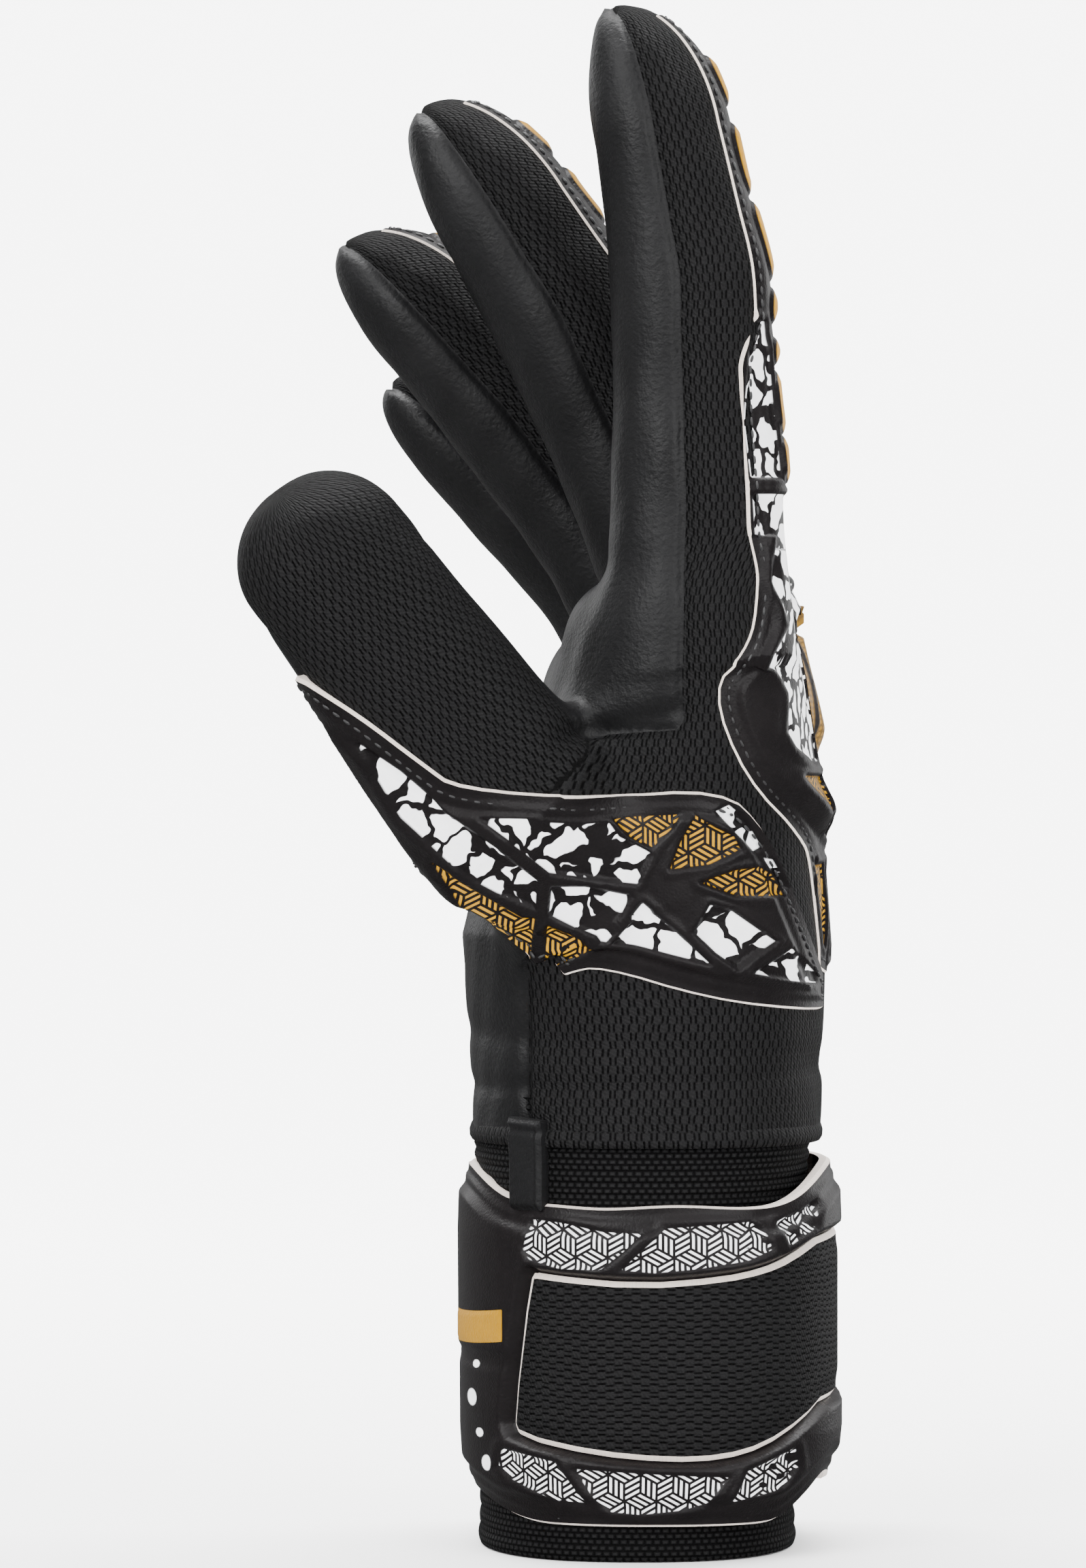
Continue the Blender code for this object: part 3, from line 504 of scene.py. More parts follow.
def add(name, V, T, materials, face_material=None, normals=None, **attributes):
    """A mesh object from layout points. p, the rest place, is always stored for the materials."""
    mesh = bpy.data.meshes.new(name)
    mesh.vertices.add(len(V))
    mesh.vertices.foreach_set("co", ((V + SHIFT) * 0.001).astype(np.float32).ravel())
    mesh.loops.add(3 * len(T))
    mesh.loops.foreach_set("vertex_index", T.astype(np.int32).ravel())
    mesh.polygons.add(len(T))
    mesh.polygons.foreach_set("loop_start", np.arange(0, 3 * len(T), 3, dtype=np.int32))
    mesh.update(calc_edges=True)
    for material in materials:
        mesh.materials.append(material)
    if face_material is not None:
        mesh.polygons.foreach_set("material_index", face_material.astype(np.int32))
    mesh.polygons.foreach_set("use_smooth", np.ones(len(T), bool))
    attributes.setdefault("p", V)
    for key, value in attributes.items():
        kind = "FLOAT" if value.ndim == 1 else "FLOAT_VECTOR"
        made = mesh.attributes.new(key, kind, "POINT")
        made.data.foreach_set("value" if value.ndim == 1 else "vector", value.astype(np.float32).ravel())
    if normals is not None:
        mesh.normals_split_custom_set_from_vertices(normals.tolist())
    made = bpy.data.objects.new(name, mesh)
    bpy.context.scene.collection.objects.link(made)
    return made


def settle_piece(piece, body, slot, *nodes, fill=None):
    """Make a finished piece ride on its body and hide the CAD nodes it stands for; slot, what it is made of, is
    not used.
    """
    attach(piece, body)
    if nodes:
        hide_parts(*nodes)


def at(P):
    """A layout point in the CAD's frame, in metres."""
    return tuple((np.array(P, float) + SHIFT) * 0.001)


# ------------------------------------------------------------------ material building

class Value:
    """A shader socket with arithmetic."""

    def __init__(self, shade, socket):
        self.shade, self.socket = shade, socket

    def __add__(self, other): return self.shade.math("ADD", self, other)
    def __radd__(self, other): return self.shade.math("ADD", other, self)
    def __sub__(self, other): return self.shade.math("SUBTRACT", self, other)
    def __rsub__(self, other): return self.shade.math("SUBTRACT", other, self)
    def __mul__(self, other): return self.shade.math("MULTIPLY", self, other)
    def __rmul__(self, other): return self.shade.math("MULTIPLY", other, self)
    def __truediv__(self, other): return self.shade.math("DIVIDE", self, other)


class Shade:
    """One Principled material under construction."""

    def __init__(self, name):
        self.material = bpy.data.materials.new(name)
        self.material.use_nodes = True
        self.tree = self.material.node_tree
        self.surface = self.tree.nodes["Principled BSDF"]

    def put(self, value, target):
        if isinstance(value, Value):
            self.tree.links.new(value.socket, target)
        else:
            target.default_value = value

    def math(self, operation, *values):
        node = self.tree.nodes.new("ShaderNodeMath")
        node.operation = operation
        for value, target in zip(values, node.inputs):
            self.put(value, target)
        return Value(self, node.outputs[0])

    def attribute(self, name):
        node = self.tree.nodes.new("ShaderNodeAttribute")
        node.attribute_name = name
        return node

    def field(self, name):
        return Value(self, self.attribute(name).outputs["Fac"])

    def parts(self, name):
        node = self.tree.nodes.new("ShaderNodeSeparateXYZ")
        self.tree.links.new(self.attribute(name).outputs["Vector"], node.inputs[0])
        return [Value(self, out) for out in node.outputs]

    def vector(self, x, y, z=0.0):
        node = self.tree.nodes.new("ShaderNodeCombineXYZ")
        for value, target in zip((x, y, z), node.inputs):
            self.put(value, target)
        return Value(self, node.outputs[0])

    def rest_place(self):
        return self.vector(*self.parts("p"))

    def texture(self, kind, vector, output, **values):
        node = self.tree.nodes.new("ShaderNodeTex" + kind)
        if "feature" in values:
            node.feature = values.pop("feature")
        self.put(vector, node.inputs["Vector"])
        for name, value in values.items():
            node.inputs[name].default_value = value
        return Value(self, node.outputs[output])

    def noise(self, vector, scale, detail=2.0):
        return self.texture("Noise", vector, "Fac", Scale=scale, Detail=detail)

    def cells(self, vector, scale, feature="DISTANCE_TO_EDGE", randomness=1.0):
        return self.texture("Voronoi", vector, "Distance", feature=feature, Scale=scale,
                            Randomness=randomness)

    def step(self, value, low, high):
        """0 below low, 1 above high, smooth between."""
        node = self.tree.nodes.new("ShaderNodeMapRange")
        node.interpolation_type = "SMOOTHSTEP"
        self.put(value, node.inputs["Value"])
        node.inputs["From Min"].default_value = min(low, high)
        node.inputs["From Max"].default_value = max(low, high)
        node.inputs["To Min"].default_value = float(low > high)
        node.inputs["To Max"].default_value = float(low < high)
        return Value(self, node.outputs["Result"])

    def mix(self, share, a, b):
        node = self.tree.nodes.new("ShaderNodeMix")
        node.data_type = "RGBA"
        self.put(share, node.inputs["Factor"])
        for value, target in ((a, node.inputs["A"]), (b, node.inputs["B"])):
            if isinstance(value, tuple):
                target.default_value = (*value, 1.0)
            else:
                self.put(value, target)
        return Value(self, node.outputs["Result"])

    def wave(self, value, period):
        return self.math("SINE", value * (2 * math.pi / period))

    def finish(self, colour, roughness, height=None, depth=0.0003, **uniform):
        for key, value in (("Base Color", colour), ("Roughness", roughness)):
            if isinstance(value, tuple):
                value = (*value, 1.0)
            self.put(value, self.surface.inputs[key])
        for key, value in uniform.items():
            self.surface.inputs[key.replace("_", " ")].default_value = value
        if height is not None:
            bump = self.tree.nodes.new("ShaderNodeBump")
            bump.inputs["Strength"].default_value = 1.0
            bump.inputs["Distance"].default_value = depth
            self.put(height, bump.inputs["Height"])
            self.tree.links.new(bump.outputs["Normal"], self.surface.inputs["Normal"])
        return self.material


def blobs(s, uv, scale=0.175):
    """White blobs with dark cracks between them: 1 on a blob."""
    x, y, _ = uv
    warp = s.noise(s.vector(x, y), 0.33, 1.0)
    warp_2 = s.noise(s.vector(y, x, 3.0), 0.33, 1.0)
    place = s.vector(x + (warp - 0.5) * 3.6, y + (warp_2 - 0.5) * 3.6)
    edge = s.cells(place, scale, "F2") - s.cells(place, scale, "F1")
    fine = s.noise(s.vector(x, y, 7.0), 0.5, 1.0)
    return s.step(edge - fine * 0.16, 0.05, 0.08)


STRIPES = 3
# Painted shade: the near black put in the slits and gaps between the loops of mesh and knit stands in for the
# shade in those recesses.
PAINTED_GAP_SHADE = (0.0005, 0.0005, 0.0006)


def blocks(s, uv, size=5.6):
    """Tumbling blocks, each face of them STRIPES lines: 1 on a line."""
    x, y, _ = uv
    r1, r2 = size, size * math.sqrt(3)

    def wrapped(value, period):
        return s.math("WRAP", value, period / 2, -period / 2)

    ax, ay = wrapped(x, r1), wrapped(y, r2)
    bx, by = wrapped(x - r1 / 2, r1), wrapped(y - r2 / 2, r2)
    length_a, length_b = ax * ax + ay * ay, bx * bx + by * by
    nearer = s.math("LESS_THAN", length_a, length_b)
    qx, qy = bx + (ax - bx) * nearer, by + (ay - by) * nearer
    turn = s.math("ARCTAN2", qy, qx)
    third = 2 * math.pi / 3
    sector = s.math("FLOOR", (turn + math.pi / 2) / third)
    across = turn - (sector * third - math.pi / 6)
    length = s.math("SQRT", qx * qx + qy * qy)
    side = length * s.math("SINE", math.pi / 3 - across)
    end = length * s.math("SINE", math.pi / 3 + across)
    lines = s.math("ABSOLUTE", s.math("FRACT", side * (2 * STRIPES / size)) - 0.5)
    gap = s.math("MINIMUM", end, size / 2 - end)
    return s.step(lines, 0.28, 0.20) * s.step(gap, 0.16, 0.28)


def latex_look():
    """Latex foam: near black, fine leathery grain, soft sheen."""
    s = Shade("latex")
    v = s.rest_place()
    grain = s.cells(v, 1.15, "SMOOTH_F1") * 0.6 + s.noise(v, 2.6, 3.0) * 0.6
    broad = s.noise(v, 0.08, 2.0)
    colour = s.mix(broad, (0.0035, 0.0035, 0.0037), (0.0065, 0.0065, 0.007))
    roughness = s.step(broad, 0.2, 0.8) * 0.12 + 0.42
    return s.finish(colour, roughness, grain, 0.00016, Specular_IOR_Level=0.15)


def mesh_look():
    """Air mesh: columns of small loops, each second column half a loop further on."""
    pitch, drop = 1.15, 3.0
    s = Shade("mesh")
    u, w, _ = s.parts("st")
    waver = s.noise(s.vector(u, w), 0.12, 2.0)
    u = u + (waver - 0.5) * 1.4
    column = s.math("FLOOR", u / pitch)
    across = s.math("ABSOLUTE", s.math("FRACT", u / pitch) - 0.5) * 2
    offset = s.math("FRACT", column * 0.5)
    along = s.math("ABSOLUTE", s.math("FRACT", w / drop + offset) - 0.5) * 2
    slit = s.step(across, 0.30, 0.62) * s.step(along, 0.36, 0.72)
    twist = s.wave(w + u * 0.6, 0.75) * 0.12
    fibre = s.noise(s.vector(u * 3, w), 1.8, 3.0)
    loop = 1.0 - slit
    height = loop + fibre * 0.45 + twist + across * -0.25
    # The slits between the loops are coloured with painted shade.
    colour = s.mix(loop * (0.45 + fibre * 0.55), PAINTED_GAP_SHADE, (0.0095, 0.0095, 0.0098))
    return s.finish(colour, 0.74 - loop * 0.12, height, 0.00036, Specular_IOR_Level=0.07)


def knit_look():
    """Knit of the cuff and bandage: rows across, fine stitches along."""
    s = Shade("knit")
    u, w, _ = s.parts("st")
    row = s.math("FLOOR", w / 1.05)
    in_row = s.math("ABSOLUTE", s.math("FRACT", w / 1.05) - 0.5) * 2
    stitch = s.math("ABSOLUTE", s.math("FRACT", u / 1.5 + s.math("FRACT", row * 0.5)) - 0.5) * 2
    loop = s.step(in_row, 1.0, 0.3) * s.step(stitch, 1.0, 0.35)
    fibre = s.noise(s.vector(u, w * 3), 1.8, 3.0)
    # The gaps between the knit's loops are coloured with painted shade.
    colour = s.mix(loop, PAINTED_GAP_SHADE, (0.008, 0.008, 0.0083))
    return s.finish(colour, 0.8, loop + fibre * 0.4, 0.0004, Specular_IOR_Level=0.07)


def panel_look():
    """Embossed synthetic with prints."""
    s = Shade("panel")
    uv = s.parts("st")
    v = s.rest_place()
    grain = s.cells(v, 2.2, "SMOOTH_F1") * 0.5 + s.noise(v, 3.5, 2.0) * 0.5
    white_on = s.step(s.field("white"), 0.12, -0.12) * blobs(s, uv)
    gold_on = s.step(s.field("gold"), 0.12, -0.12) * blocks(s, uv)
    block_on = s.step(s.field("block"), 0.12, -0.12) * blocks(s, uv)
    rib_on = s.step(s.field("rib"), 0.2, -0.2)
    wear = s.noise(v, 0.5, 3.0)
    broad = s.noise(v, 0.1, 2.0)
    colour = s.mix(broad, (0.003, 0.0025, 0.0028), (0.0065, 0.0053, 0.0056))
    white = s.mix(wear, (0.86, 0.86, 0.87), (0.72, 0.72, 0.74))
    gold = s.mix(wear, (0.36, 0.18, 0.0), (0.27, 0.13, 0.0))
    colour = s.mix(gold_on, colour, gold)
    colour = s.mix(white_on, colour, white)
    colour = s.mix(block_on, colour, white)
    colour = s.mix(rib_on, colour, gold)
    colour = s.mix(s.step(s.field("dot"), 0.4, 0.6), colour, white)
    return s.finish(
        colour, broad * 0.16 + 0.32, grain + white_on * 0.5 + gold_on * 0.5 + block_on * 0.5, 0.00010,
        Specular_IOR_Level=0.12)


def guard_look():
    """Raised guard over the knuckles: dull gold rubber with a fine dot print."""
    s = Shade("guard")
    uv = s.parts("st")
    v = s.rest_place()
    dots = s.cells(s.vector(uv[0], uv[1]), 0.9, "F1", 0.15)
    broad = s.noise(v, 0.12, 2.0)
    colour = s.mix(s.step(dots, 0.30, 0.4), (0.20, 0.105, 0.012), (0.10, 0.055, 0.012))
    colour = s.mix(s.step(s.field("white"), 0.12, -0.12) * blobs(s, uv), colour, (0.8, 0.8, 0.81))
    colour = s.mix(s.step(s.field("black"), 0.12, -0.12), colour, (0.014, 0.012, 0.012))
    return s.finish(colour, broad * 0.15 + 0.40, dots, 0.00012, Specular_IOR_Level=0.15)


def edge_look():
    """Cut edge of the foam backing."""
    s = Shade("raw_edge")
    v = s.rest_place()
    fuzz = s.noise(v, 3.0, 3.0)
    colour = s.mix(fuzz, (0.46, 0.39, 0.34), (0.66, 0.59, 0.53))
    return s.finish(colour, 0.85, fuzz, 0.0003, Sheen_Weight=0.2)


def thread_look():
    s = Shade("thread")
    v = s.rest_place()
    colour = s.mix(s.noise(v, 2.0), (0.006, 0.006, 0.007), (0.02, 0.02, 0.02))
    return s.finish(colour, 0.45, s.noise(v, 6.0), 0.0001)


def band_look():
    s = Shade("gold_band")
    v = s.rest_place()
    colour = s.mix(s.noise(v, 0.6, 3.0), (0.27, 0.135, 0.0), (0.22, 0.108, 0.0))
    return s.finish(colour, 0.42, s.cells(v, 2.0, "SMOOTH_F1"), 0.0001, Specular_IOR_Level=0.15)


def make_cad_material(name, dark, light, scale, depth):
    """Material of a CAD node that stays: fuzz from the object's own coordinates."""
    s = Shade(name)
    node = s.tree.nodes.new("ShaderNodeTexCoord")
    v = Value(s, node.outputs["Object"])
    fuzz = s.noise(v, scale, 4.0)
    cell = s.cells(v, scale * 0.6)
    return s.finish(s.mix(fuzz, dark, light), 0.85, fuzz + cell, depth, Sheen_Weight=0.3, Sheen_Roughness=0.5)


MAT = dict(latex=latex_look(), mesh=mesh_look(), knit=knit_look(), panel=panel_look(),
           guard=guard_look(), edge=edge_look(), thread=thread_look(), band=band_look())


# ------------------------------------------------------------------ skin: latex and mesh

def finger_of(P):
    return np.digitize(P[:, 1], SLAB_EDGES)


def skin_facts(V):
    """What the regions need to know of each skin point."""
    _, x_plain, z_plain, turn = hand_shape(V)
    f = dict(w=along_fingers(V), x=x_plain, z=z_plain)
    which = finger_of(V)
    own = {key: np.zeros(len(V)) for key in ("along", "u", "v", "depth", "shrink", "rise")}
    for i, finger in enumerate(FINGERS):
        on = which == i
        if on.any():
            _, w, u, v, depth, shrink, rise = finger.shape(V[on])
            for key, value in zip(own, (w, u, v, depth, shrink, rise)):
                own[key][on] = value
    f.update(own)
    f["which"] = which
    d, w, u, v, depth = thumb_shape(V)
    f.update(td=d, tw=w, tu=u, tv=v, tdepth=depth)
    # pattern coordinates: across and along, in mm
    table = np.linspace(-math.pi, math.pi, 721)
    arc = np.cumsum(np.hypot(28 * np.sin(table), 46 * np.cos(table))) * (table[1] - table[0])
    hand_uv = np.stack([np.interp(turn, table, arc), V[:, 2]], 1)
    side, back, far_side = np.interp((-math.pi / 2, 0, math.pi / 2), table, arc)
    start = np.array([side + 22, back + FINGERS[1].k0[1], back + FINGERS[2].k0[1], far_side - 22])
    knuckle = np.array([finger.k0[2] for finger in FINGERS])
    finger_uv = np.stack([np.arctan2(f["u"], f["v"]) * 14 + start[which], f["along"] + knuckle[which]], 1)
    thumb_uv = np.stack([np.arctan2(u, -v) * 16, w + 150], 1)
    on_finger = smooth((f["w"] + 14) / 16)[:, None]
    on_thumb = (smooth((4.5 - d) / 3) * smooth((w + 16) / 6))[:, None]
    f["on_finger"], f["on_thumb"] = on_finger[:, 0] * (1 - on_thumb[:, 0]), on_thumb[:, 0]
    uv = hand_uv * (1 - on_finger) + finger_uv * on_finger
    uv = np.where(on_thumb > 0.5, thumb_uv, uv)
    f["st"] = np.concatenate([uv, np.zeros((len(V), 1))], 1)
    return f


def latex_field(V, f):
    """Distance to the seam between latex and mesh, negative on the latex."""
    y, z = V[:, 1], V[:, 2]
    hand = polygon(f["x"], z, PALM_EDGE)
    corner = np.maximum(polygon(f["x"], z, THUMB_MESH), y + 46)
    hand = np.maximum(hand, -corner)
    s = f["v"] / (f["depth"] * np.maximum(f["shrink"], 0.05))
    finger = (s + 0.13) * f["depth"] * np.maximum(f["shrink"], 0.25)
    share = smooth((f["w"] + 9) / 12)
    field = hand * (1 - share) + finger * share
    reach = 0.10 + 0.20 * smooth(-f["tu"] / 6) - 0.75 * smooth((f["tw"] - THUMB_LENGTH + 12) / 16)
    thumb = -(f["tv"] + f["tdepth"] * reach)
    share = f["on_thumb"]
    return field * (1 - share) + thumb * share


def piece_fields(f):
    """Every body's share of the skin: its name, and fields that all have to be negative there."""
    thumb = np.maximum(-f["tw"] + SPLIT_AT, f["td"] - 6)
    past = f["w"] - SPLIT_AT
    cuts = [("hand", [past, -thumb])]
    for i, finger in enumerate(FINGERS):
        other = np.where(f["which"] == i, -1.0, 1.0)
        half = finger.length / 2
        cuts.append((finger.name + "_base", [-past, -thumb, other, f["along"] - half]))
        cuts.append((finger.name + "_tip", [-past, -thumb, other, half - f["along"]]))
    cuts.append(("thumb_base", [thumb, f["tw"] - THUMB_TIP_JOINT / 2]))
    cuts.append(("thumb_tip", [thumb, THUMB_TIP_JOINT / 2 - f["tw"]]))
    return cuts


def take(T, arrays, cuts):
    """The share of a mesh that belongs to one body."""
    arrays = list(arrays)
    n = len(arrays)
    fields = list(cuts)
    while fields:
        f = fields.pop(0)
        if set(np.unique(f)) <= {-1.0, 1.0}:
            T = T[(f[T] < 0).all(1)]
            continue
        T, *rest = clip(T, f, *arrays, *fields)
        arrays, fields = rest[:n], rest[n:]
    return (T, *arrays)


def mount(piece, body):
    """Attach a piece of the hand to the hand's body; the pieces of the fingers and thumb only have their
    transforms baked.
    """
    if body == "hand":
        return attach(piece, "hand")
    if body == "thumb_base":
        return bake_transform(piece)
    if body == "thumb_tip":
        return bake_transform(piece)
    finger = FINGERS[NAMES.index(body.split("_")[0])]
    if body.endswith("base"):
        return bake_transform(piece)
    along = unit(finger.al0 + finger.al1)
    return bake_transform(piece, finger.name + "_base", body, at(finger.k1 - along * 8), at(finger.k1 + along * 8))


REPLACED = {
    ("hand", "latex"): ["palm_latex"],
    ("hand", "mesh"): ["body_mesh"] + [name + "_knuckle_flex" for name in NAMES] + ["thumb_root_flex"],
    ("hand", "back"): ["backhand_panel"],
    ("thumb_base", "latex"): ["thumb_palm_base"],
    ("thumb_base", "mesh"): ["thumb_mesh_base", "thumb_joint_flex"],
    ("thumb_tip", "latex"): ["thumb_palm_tip"],
    ("thumb_tip", "mesh"): ["thumb_mesh_tip"],
    ("hand", "leaf"): ["thumb_panel"],
    ("thumb_base", "leaf"): ["thumb_panel_end"],
}
for name in NAMES:
    for end, flex in (("base", [name + "_joint_flex"]), ("tip", [])):
        REPLACED[f"{name}_{end}", "latex"] = [f"{name}_palm_{end}"]
        REPLACED[f"{name}_{end}", "mesh"] = [f"{name}_gusset_{end}"] + flex
        REPLACED[f"{name}_{end}", "back"] = [f"{name}_back_{end}"]


def dress_skin(V, T, N):
    f = skin_facts(V)
    seam = latex_field(V, f)
    below = HEM - V[:, 2]
    groove = -1.0 * np.exp(-(seam / 0.95) ** 2) + 0.45 * smooth(np.abs(seam) / 5)
    V2 = V + N * groove[:, None]
    N2 = vertex_normals(V2, T)
    for body, fields in piece_fields(f):
        for kind, sign in (("latex", 1), ("mesh", -1)):
            tri, place, normal, uv, rest = take(T, (V2, N2, f["st"], V), [below] + fields + [sign * seam])
            if len(tri) < 20:
                continue
            piece = add(f"{body}_{kind}", place, tri, [MAT[kind]], normals=normal, st=uv, p=rest)
            mount(piece, body)
            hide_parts(*REPLACED[body, kind])


# ------------------------------------------------------------------ panels laid on the skin

def shell(V, T, N, field, top, bottom, extras, lip=0.4):
    """Cut a panel out of a surface and thicken it.

    Gives points, triangles, face materials (0 top, 1 cut edge), normals, rest places, extras per
    point, and stitch paths.
    """
    top, bottom = top + 0 * field, bottom + 0 * field
    T, V, N, top, bottom, *extras = clip(T, field, V, N, top, bottom, *extras)
    edges = rim(T)
    run = V[edges[:, 1]] - V[edges[:, 0]]
    away = np.zeros_like(V)
    for side in (0, 1):
        np.add.at(away, edges[:, side], np.cross(run, N[edges[:, side]]))
    away = unit(away)
    paths = [(V[c], N[c], away[c], top[c]) for c in loops(edges) if len(c) > 30]
    n = len(V)
    rows = [V + N * top[:, None], V + N * (bottom + (top - bottom) * 0.62)[:, None] + away * lip,
            V + N * bottom[:, None] + away * lip * 0.8]
    lip_ids = np.unique(edges)
    place = np.full(n, -1)
    place[lip_ids] = np.arange(len(lip_ids))
    points, faces = [rows[0]], [T]
    a, b = place[edges[:, 0]], place[edges[:, 1]]
    for k in (0, 1):
        points += [rows[k][lip_ids], rows[k + 1][lip_ids]]
        upper = n + 2 * k * len(lip_ids)
        lower = upper + len(lip_ids)
        faces += [np.stack([upper + a, lower + a, upper + b], 1),
                  np.stack([upper + b, lower + a, lower + b], 1)]
    index = np.concatenate([np.arange(n)] + [lip_ids] * 4)
    P, F = np.concatenate(points), np.concatenate(faces)
    material = (np.arange(len(F)) >= len(T)).astype(int)
    return P, F, material, vertex_normals(P, F), V[index], [e[index] for e in extras], paths


def lay_piece(name, surface, field, top, bottom, materials, lip=0.4, **attributes):
    """A shell as one object, with its attributes, and the shell's stitch paths."""
    points, faces, kinds, normals, rest, values, paths = shell(
        *surface, field, top, bottom, list(attributes.values()), lip)
    piece = add(name, points, faces, materials, kinds if len(materials) > 1 else None, normals=normals,
                p=rest, **dict(zip(attributes, values)))
    return piece, paths


def one_stitch(rings, sides):
    """Triangles of a closed thread: rings of points, and a fan over each end."""
    faces = []
    for r in range(rings - 1):
        for k in range(sides):
            p, q = r * sides + k, r * sides + (k + 1) % sides
            faces += [(p, q, q + sides), (p, q + sides, p + sides)]
    last = (rings - 1) * sides
    faces += [(k + 1, k, 0) for k in range(1, sides - 1)]
    faces += [(last, last + k, last + k + 1) for k in range(1, sides - 1)]
    return np.array(faces)


def stitches(paths, inset):
    """Short raised threads in a row, a little in from an edge."""
    profile = ((0.0, 0.35), (0.2, 0.95), (0.5, 1.05), (0.8, 0.95), (1.0, 0.35))
    one = one_stitch(len(profile), STITCH_SIDES)
    turns = 2 * math.pi * np.arange(STITCH_SIDES) / STITCH_SIDES
    points, faces = [], []
    for V, N, away, top in paths:
        line = V - away * inset + N * (top - 0.02)[:, None]
        line = np.concatenate([line, line[:1]])
        normal = np.concatenate([N, N[:1]])
        run = arc_length(line)
        start = np.arange(STITCH_PITCH / 2, run[-1] - STITCH_LENGTH, STITCH_PITCH)
        a, b, n = (np.stack([np.interp(where, run, q[:, c]) for c in range(3)], 1)
                   for where, q in ((start, line), (start + STITCH_LENGTH, line), (start, normal)))
        along = unit(b - a)
        side = unit(np.cross(along, n))
        up = np.cross(side, along)
        block = np.stack([a + (b - a) * share + STITCH_RADIUS * size * (side * math.cos(t) + up * math.sin(t))
                          for share, size in profile for t in turns], 1)
        base = sum(map(len, points)) + np.arange(len(block)) * block.shape[1]
        points.append(block.reshape(-1, 3))
        faces.append((base[:, None, None] + one[None]).reshape(-1, 3))
    return np.concatenate(points), np.concatenate(faces)


def near_region(V, T, field):
    """The part of the skin near a region, made finer and put back on the skin."""
    used, flat = np.unique(T[(field[T] < 2.0).any(1)], return_inverse=True)
    P, tri = refine(V[used], flat.reshape(-1, 3))
    P, N = settle(P, 1)
    return P, tri, N


def take_kinds(faces, kinds, arrays, cuts):
    """take(), one face material at a time, so that faces keep their material through the cut."""
    parts, offset = [], 0
    for kind in np.unique(kinds):
        tri, *cut = take(faces[kinds == kind], arrays, cuts)
        if len(tri):
            parts.append((tri + offset, np.full(len(tri), kind), *cut))
            offset += len(cut[0])
    return [np.concatenate(column) for column in zip(*parts)]


def put_pieces(label, data, mats, inset, **prints):
    """Split a finished shell and its stitches between the bodies and make objects."""
    P, F, material, normals, rest, (uv, *values), paths = data
    prints = print_fields(len(P), **dict(zip(prints, values)))
    threads, thread_faces = stitches(paths, inset)
    for thread, points, faces, kinds, normal, base, fields in (
            (False, P, F, material, normals, rest, dict(st=uv, **prints)),
            (True, threads, thread_faces, np.zeros(len(thread_faces), int),
             vertex_normals(threads, thread_faces), threads.copy(), {})):
        for body, cuts in piece_fields(skin_facts(base)):
            cut = take_kinds(faces, kinds, (points, normal, base, *fields.values()), cuts)
            if not cut or len(cut[0]) < 12:
                continue
            tri, kind, place, own_normals, own_rest, *values = cut
            name = f"{body}_{label}" + ("_stitches" if thread else "")
            piece = add(name, place, tri, [MAT["thread"]] if thread else mats, kind, normals=own_normals,
                        p=own_rest, **dict(zip(fields, values)))
            mount(piece, body)
            if not thread:
                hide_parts(*REPLACED.get((body, label), []))


def print_fields(count, **fields):
    """Every print field of the panel material; the ones that aren't given are far off."""
    return {key: fields.get(key, np.full(count, FAR)) for key in ("white", "gold", "block", "rib")}


def make_leaf(V, T):
    outline = chaikin(LEAF)

    def leaf_field(P):
        """The leaf ends before the middle of the back, and close to the thumb on the palm's side."""
        limit = P[:, 1] - np.interp(P[:, 0], (-10, 8), (-43, -17.5))
        return np.maximum(polygon(P[:, 0], P[:, 2], outline), limit)

    P, tri, N = near_region(V, T, leaf_field(V))
    x, _, z = P.T
    field = np.maximum(leaf_field(P), (N[:, 1] - 0.05) * 14)
    white, gold = polygons(x, z, LEAF_WHITE), polygons(x, z, LEAF_GOLD)
    window = np.minimum(white, gold)
    flat = smooth((-field - 1.0) / 1.4) * 0.35 + smooth((-field - 3.0) / 1.6) * 0.95
    ridge = np.exp(-(((window - 0.9) / 0.75) ** 2)) * smooth((-field - 3) / 2)
    top = 1.15 + flat - 0.75 * smooth(-(window - 0.5) / 0.9) + 0.35 * ridge
    data = shell(P, tri, N, field, top, -0.5, [np.stack([x, z, 0 * x], 1), white, gold])
    put_pieces("leaf", data, [MAT["panel"], MAT["edge"]], 2.1, white=white, gold=gold)


def back_field(V, f):
    hand = polygon(f["x"], V[:, 2], chaikin(BACK_EDGE, 2))
    s = f["v"] / (f["depth"] * np.maximum(f["shrink"], 0.05))
    finger = (0.60 + 0.24 * smooth((f["along"] - 29) / 11) - s) * f["depth"] * np.maximum(f["shrink"], 0.3)
    finger = np.maximum(finger, (f["rise"] - 0.86) * 24)
    share = smooth((f["w"] + 9) / 11)
    return hand * (1 - share) + finger * share


def mirrored(y, z, many):
    """Distance to windows given for one side of the hand's middle line, and their mirror images."""
    y = y - WIDTH_CENTRE_Y
    return np.minimum(polygons(-y, z, many), polygons(y, z, many))


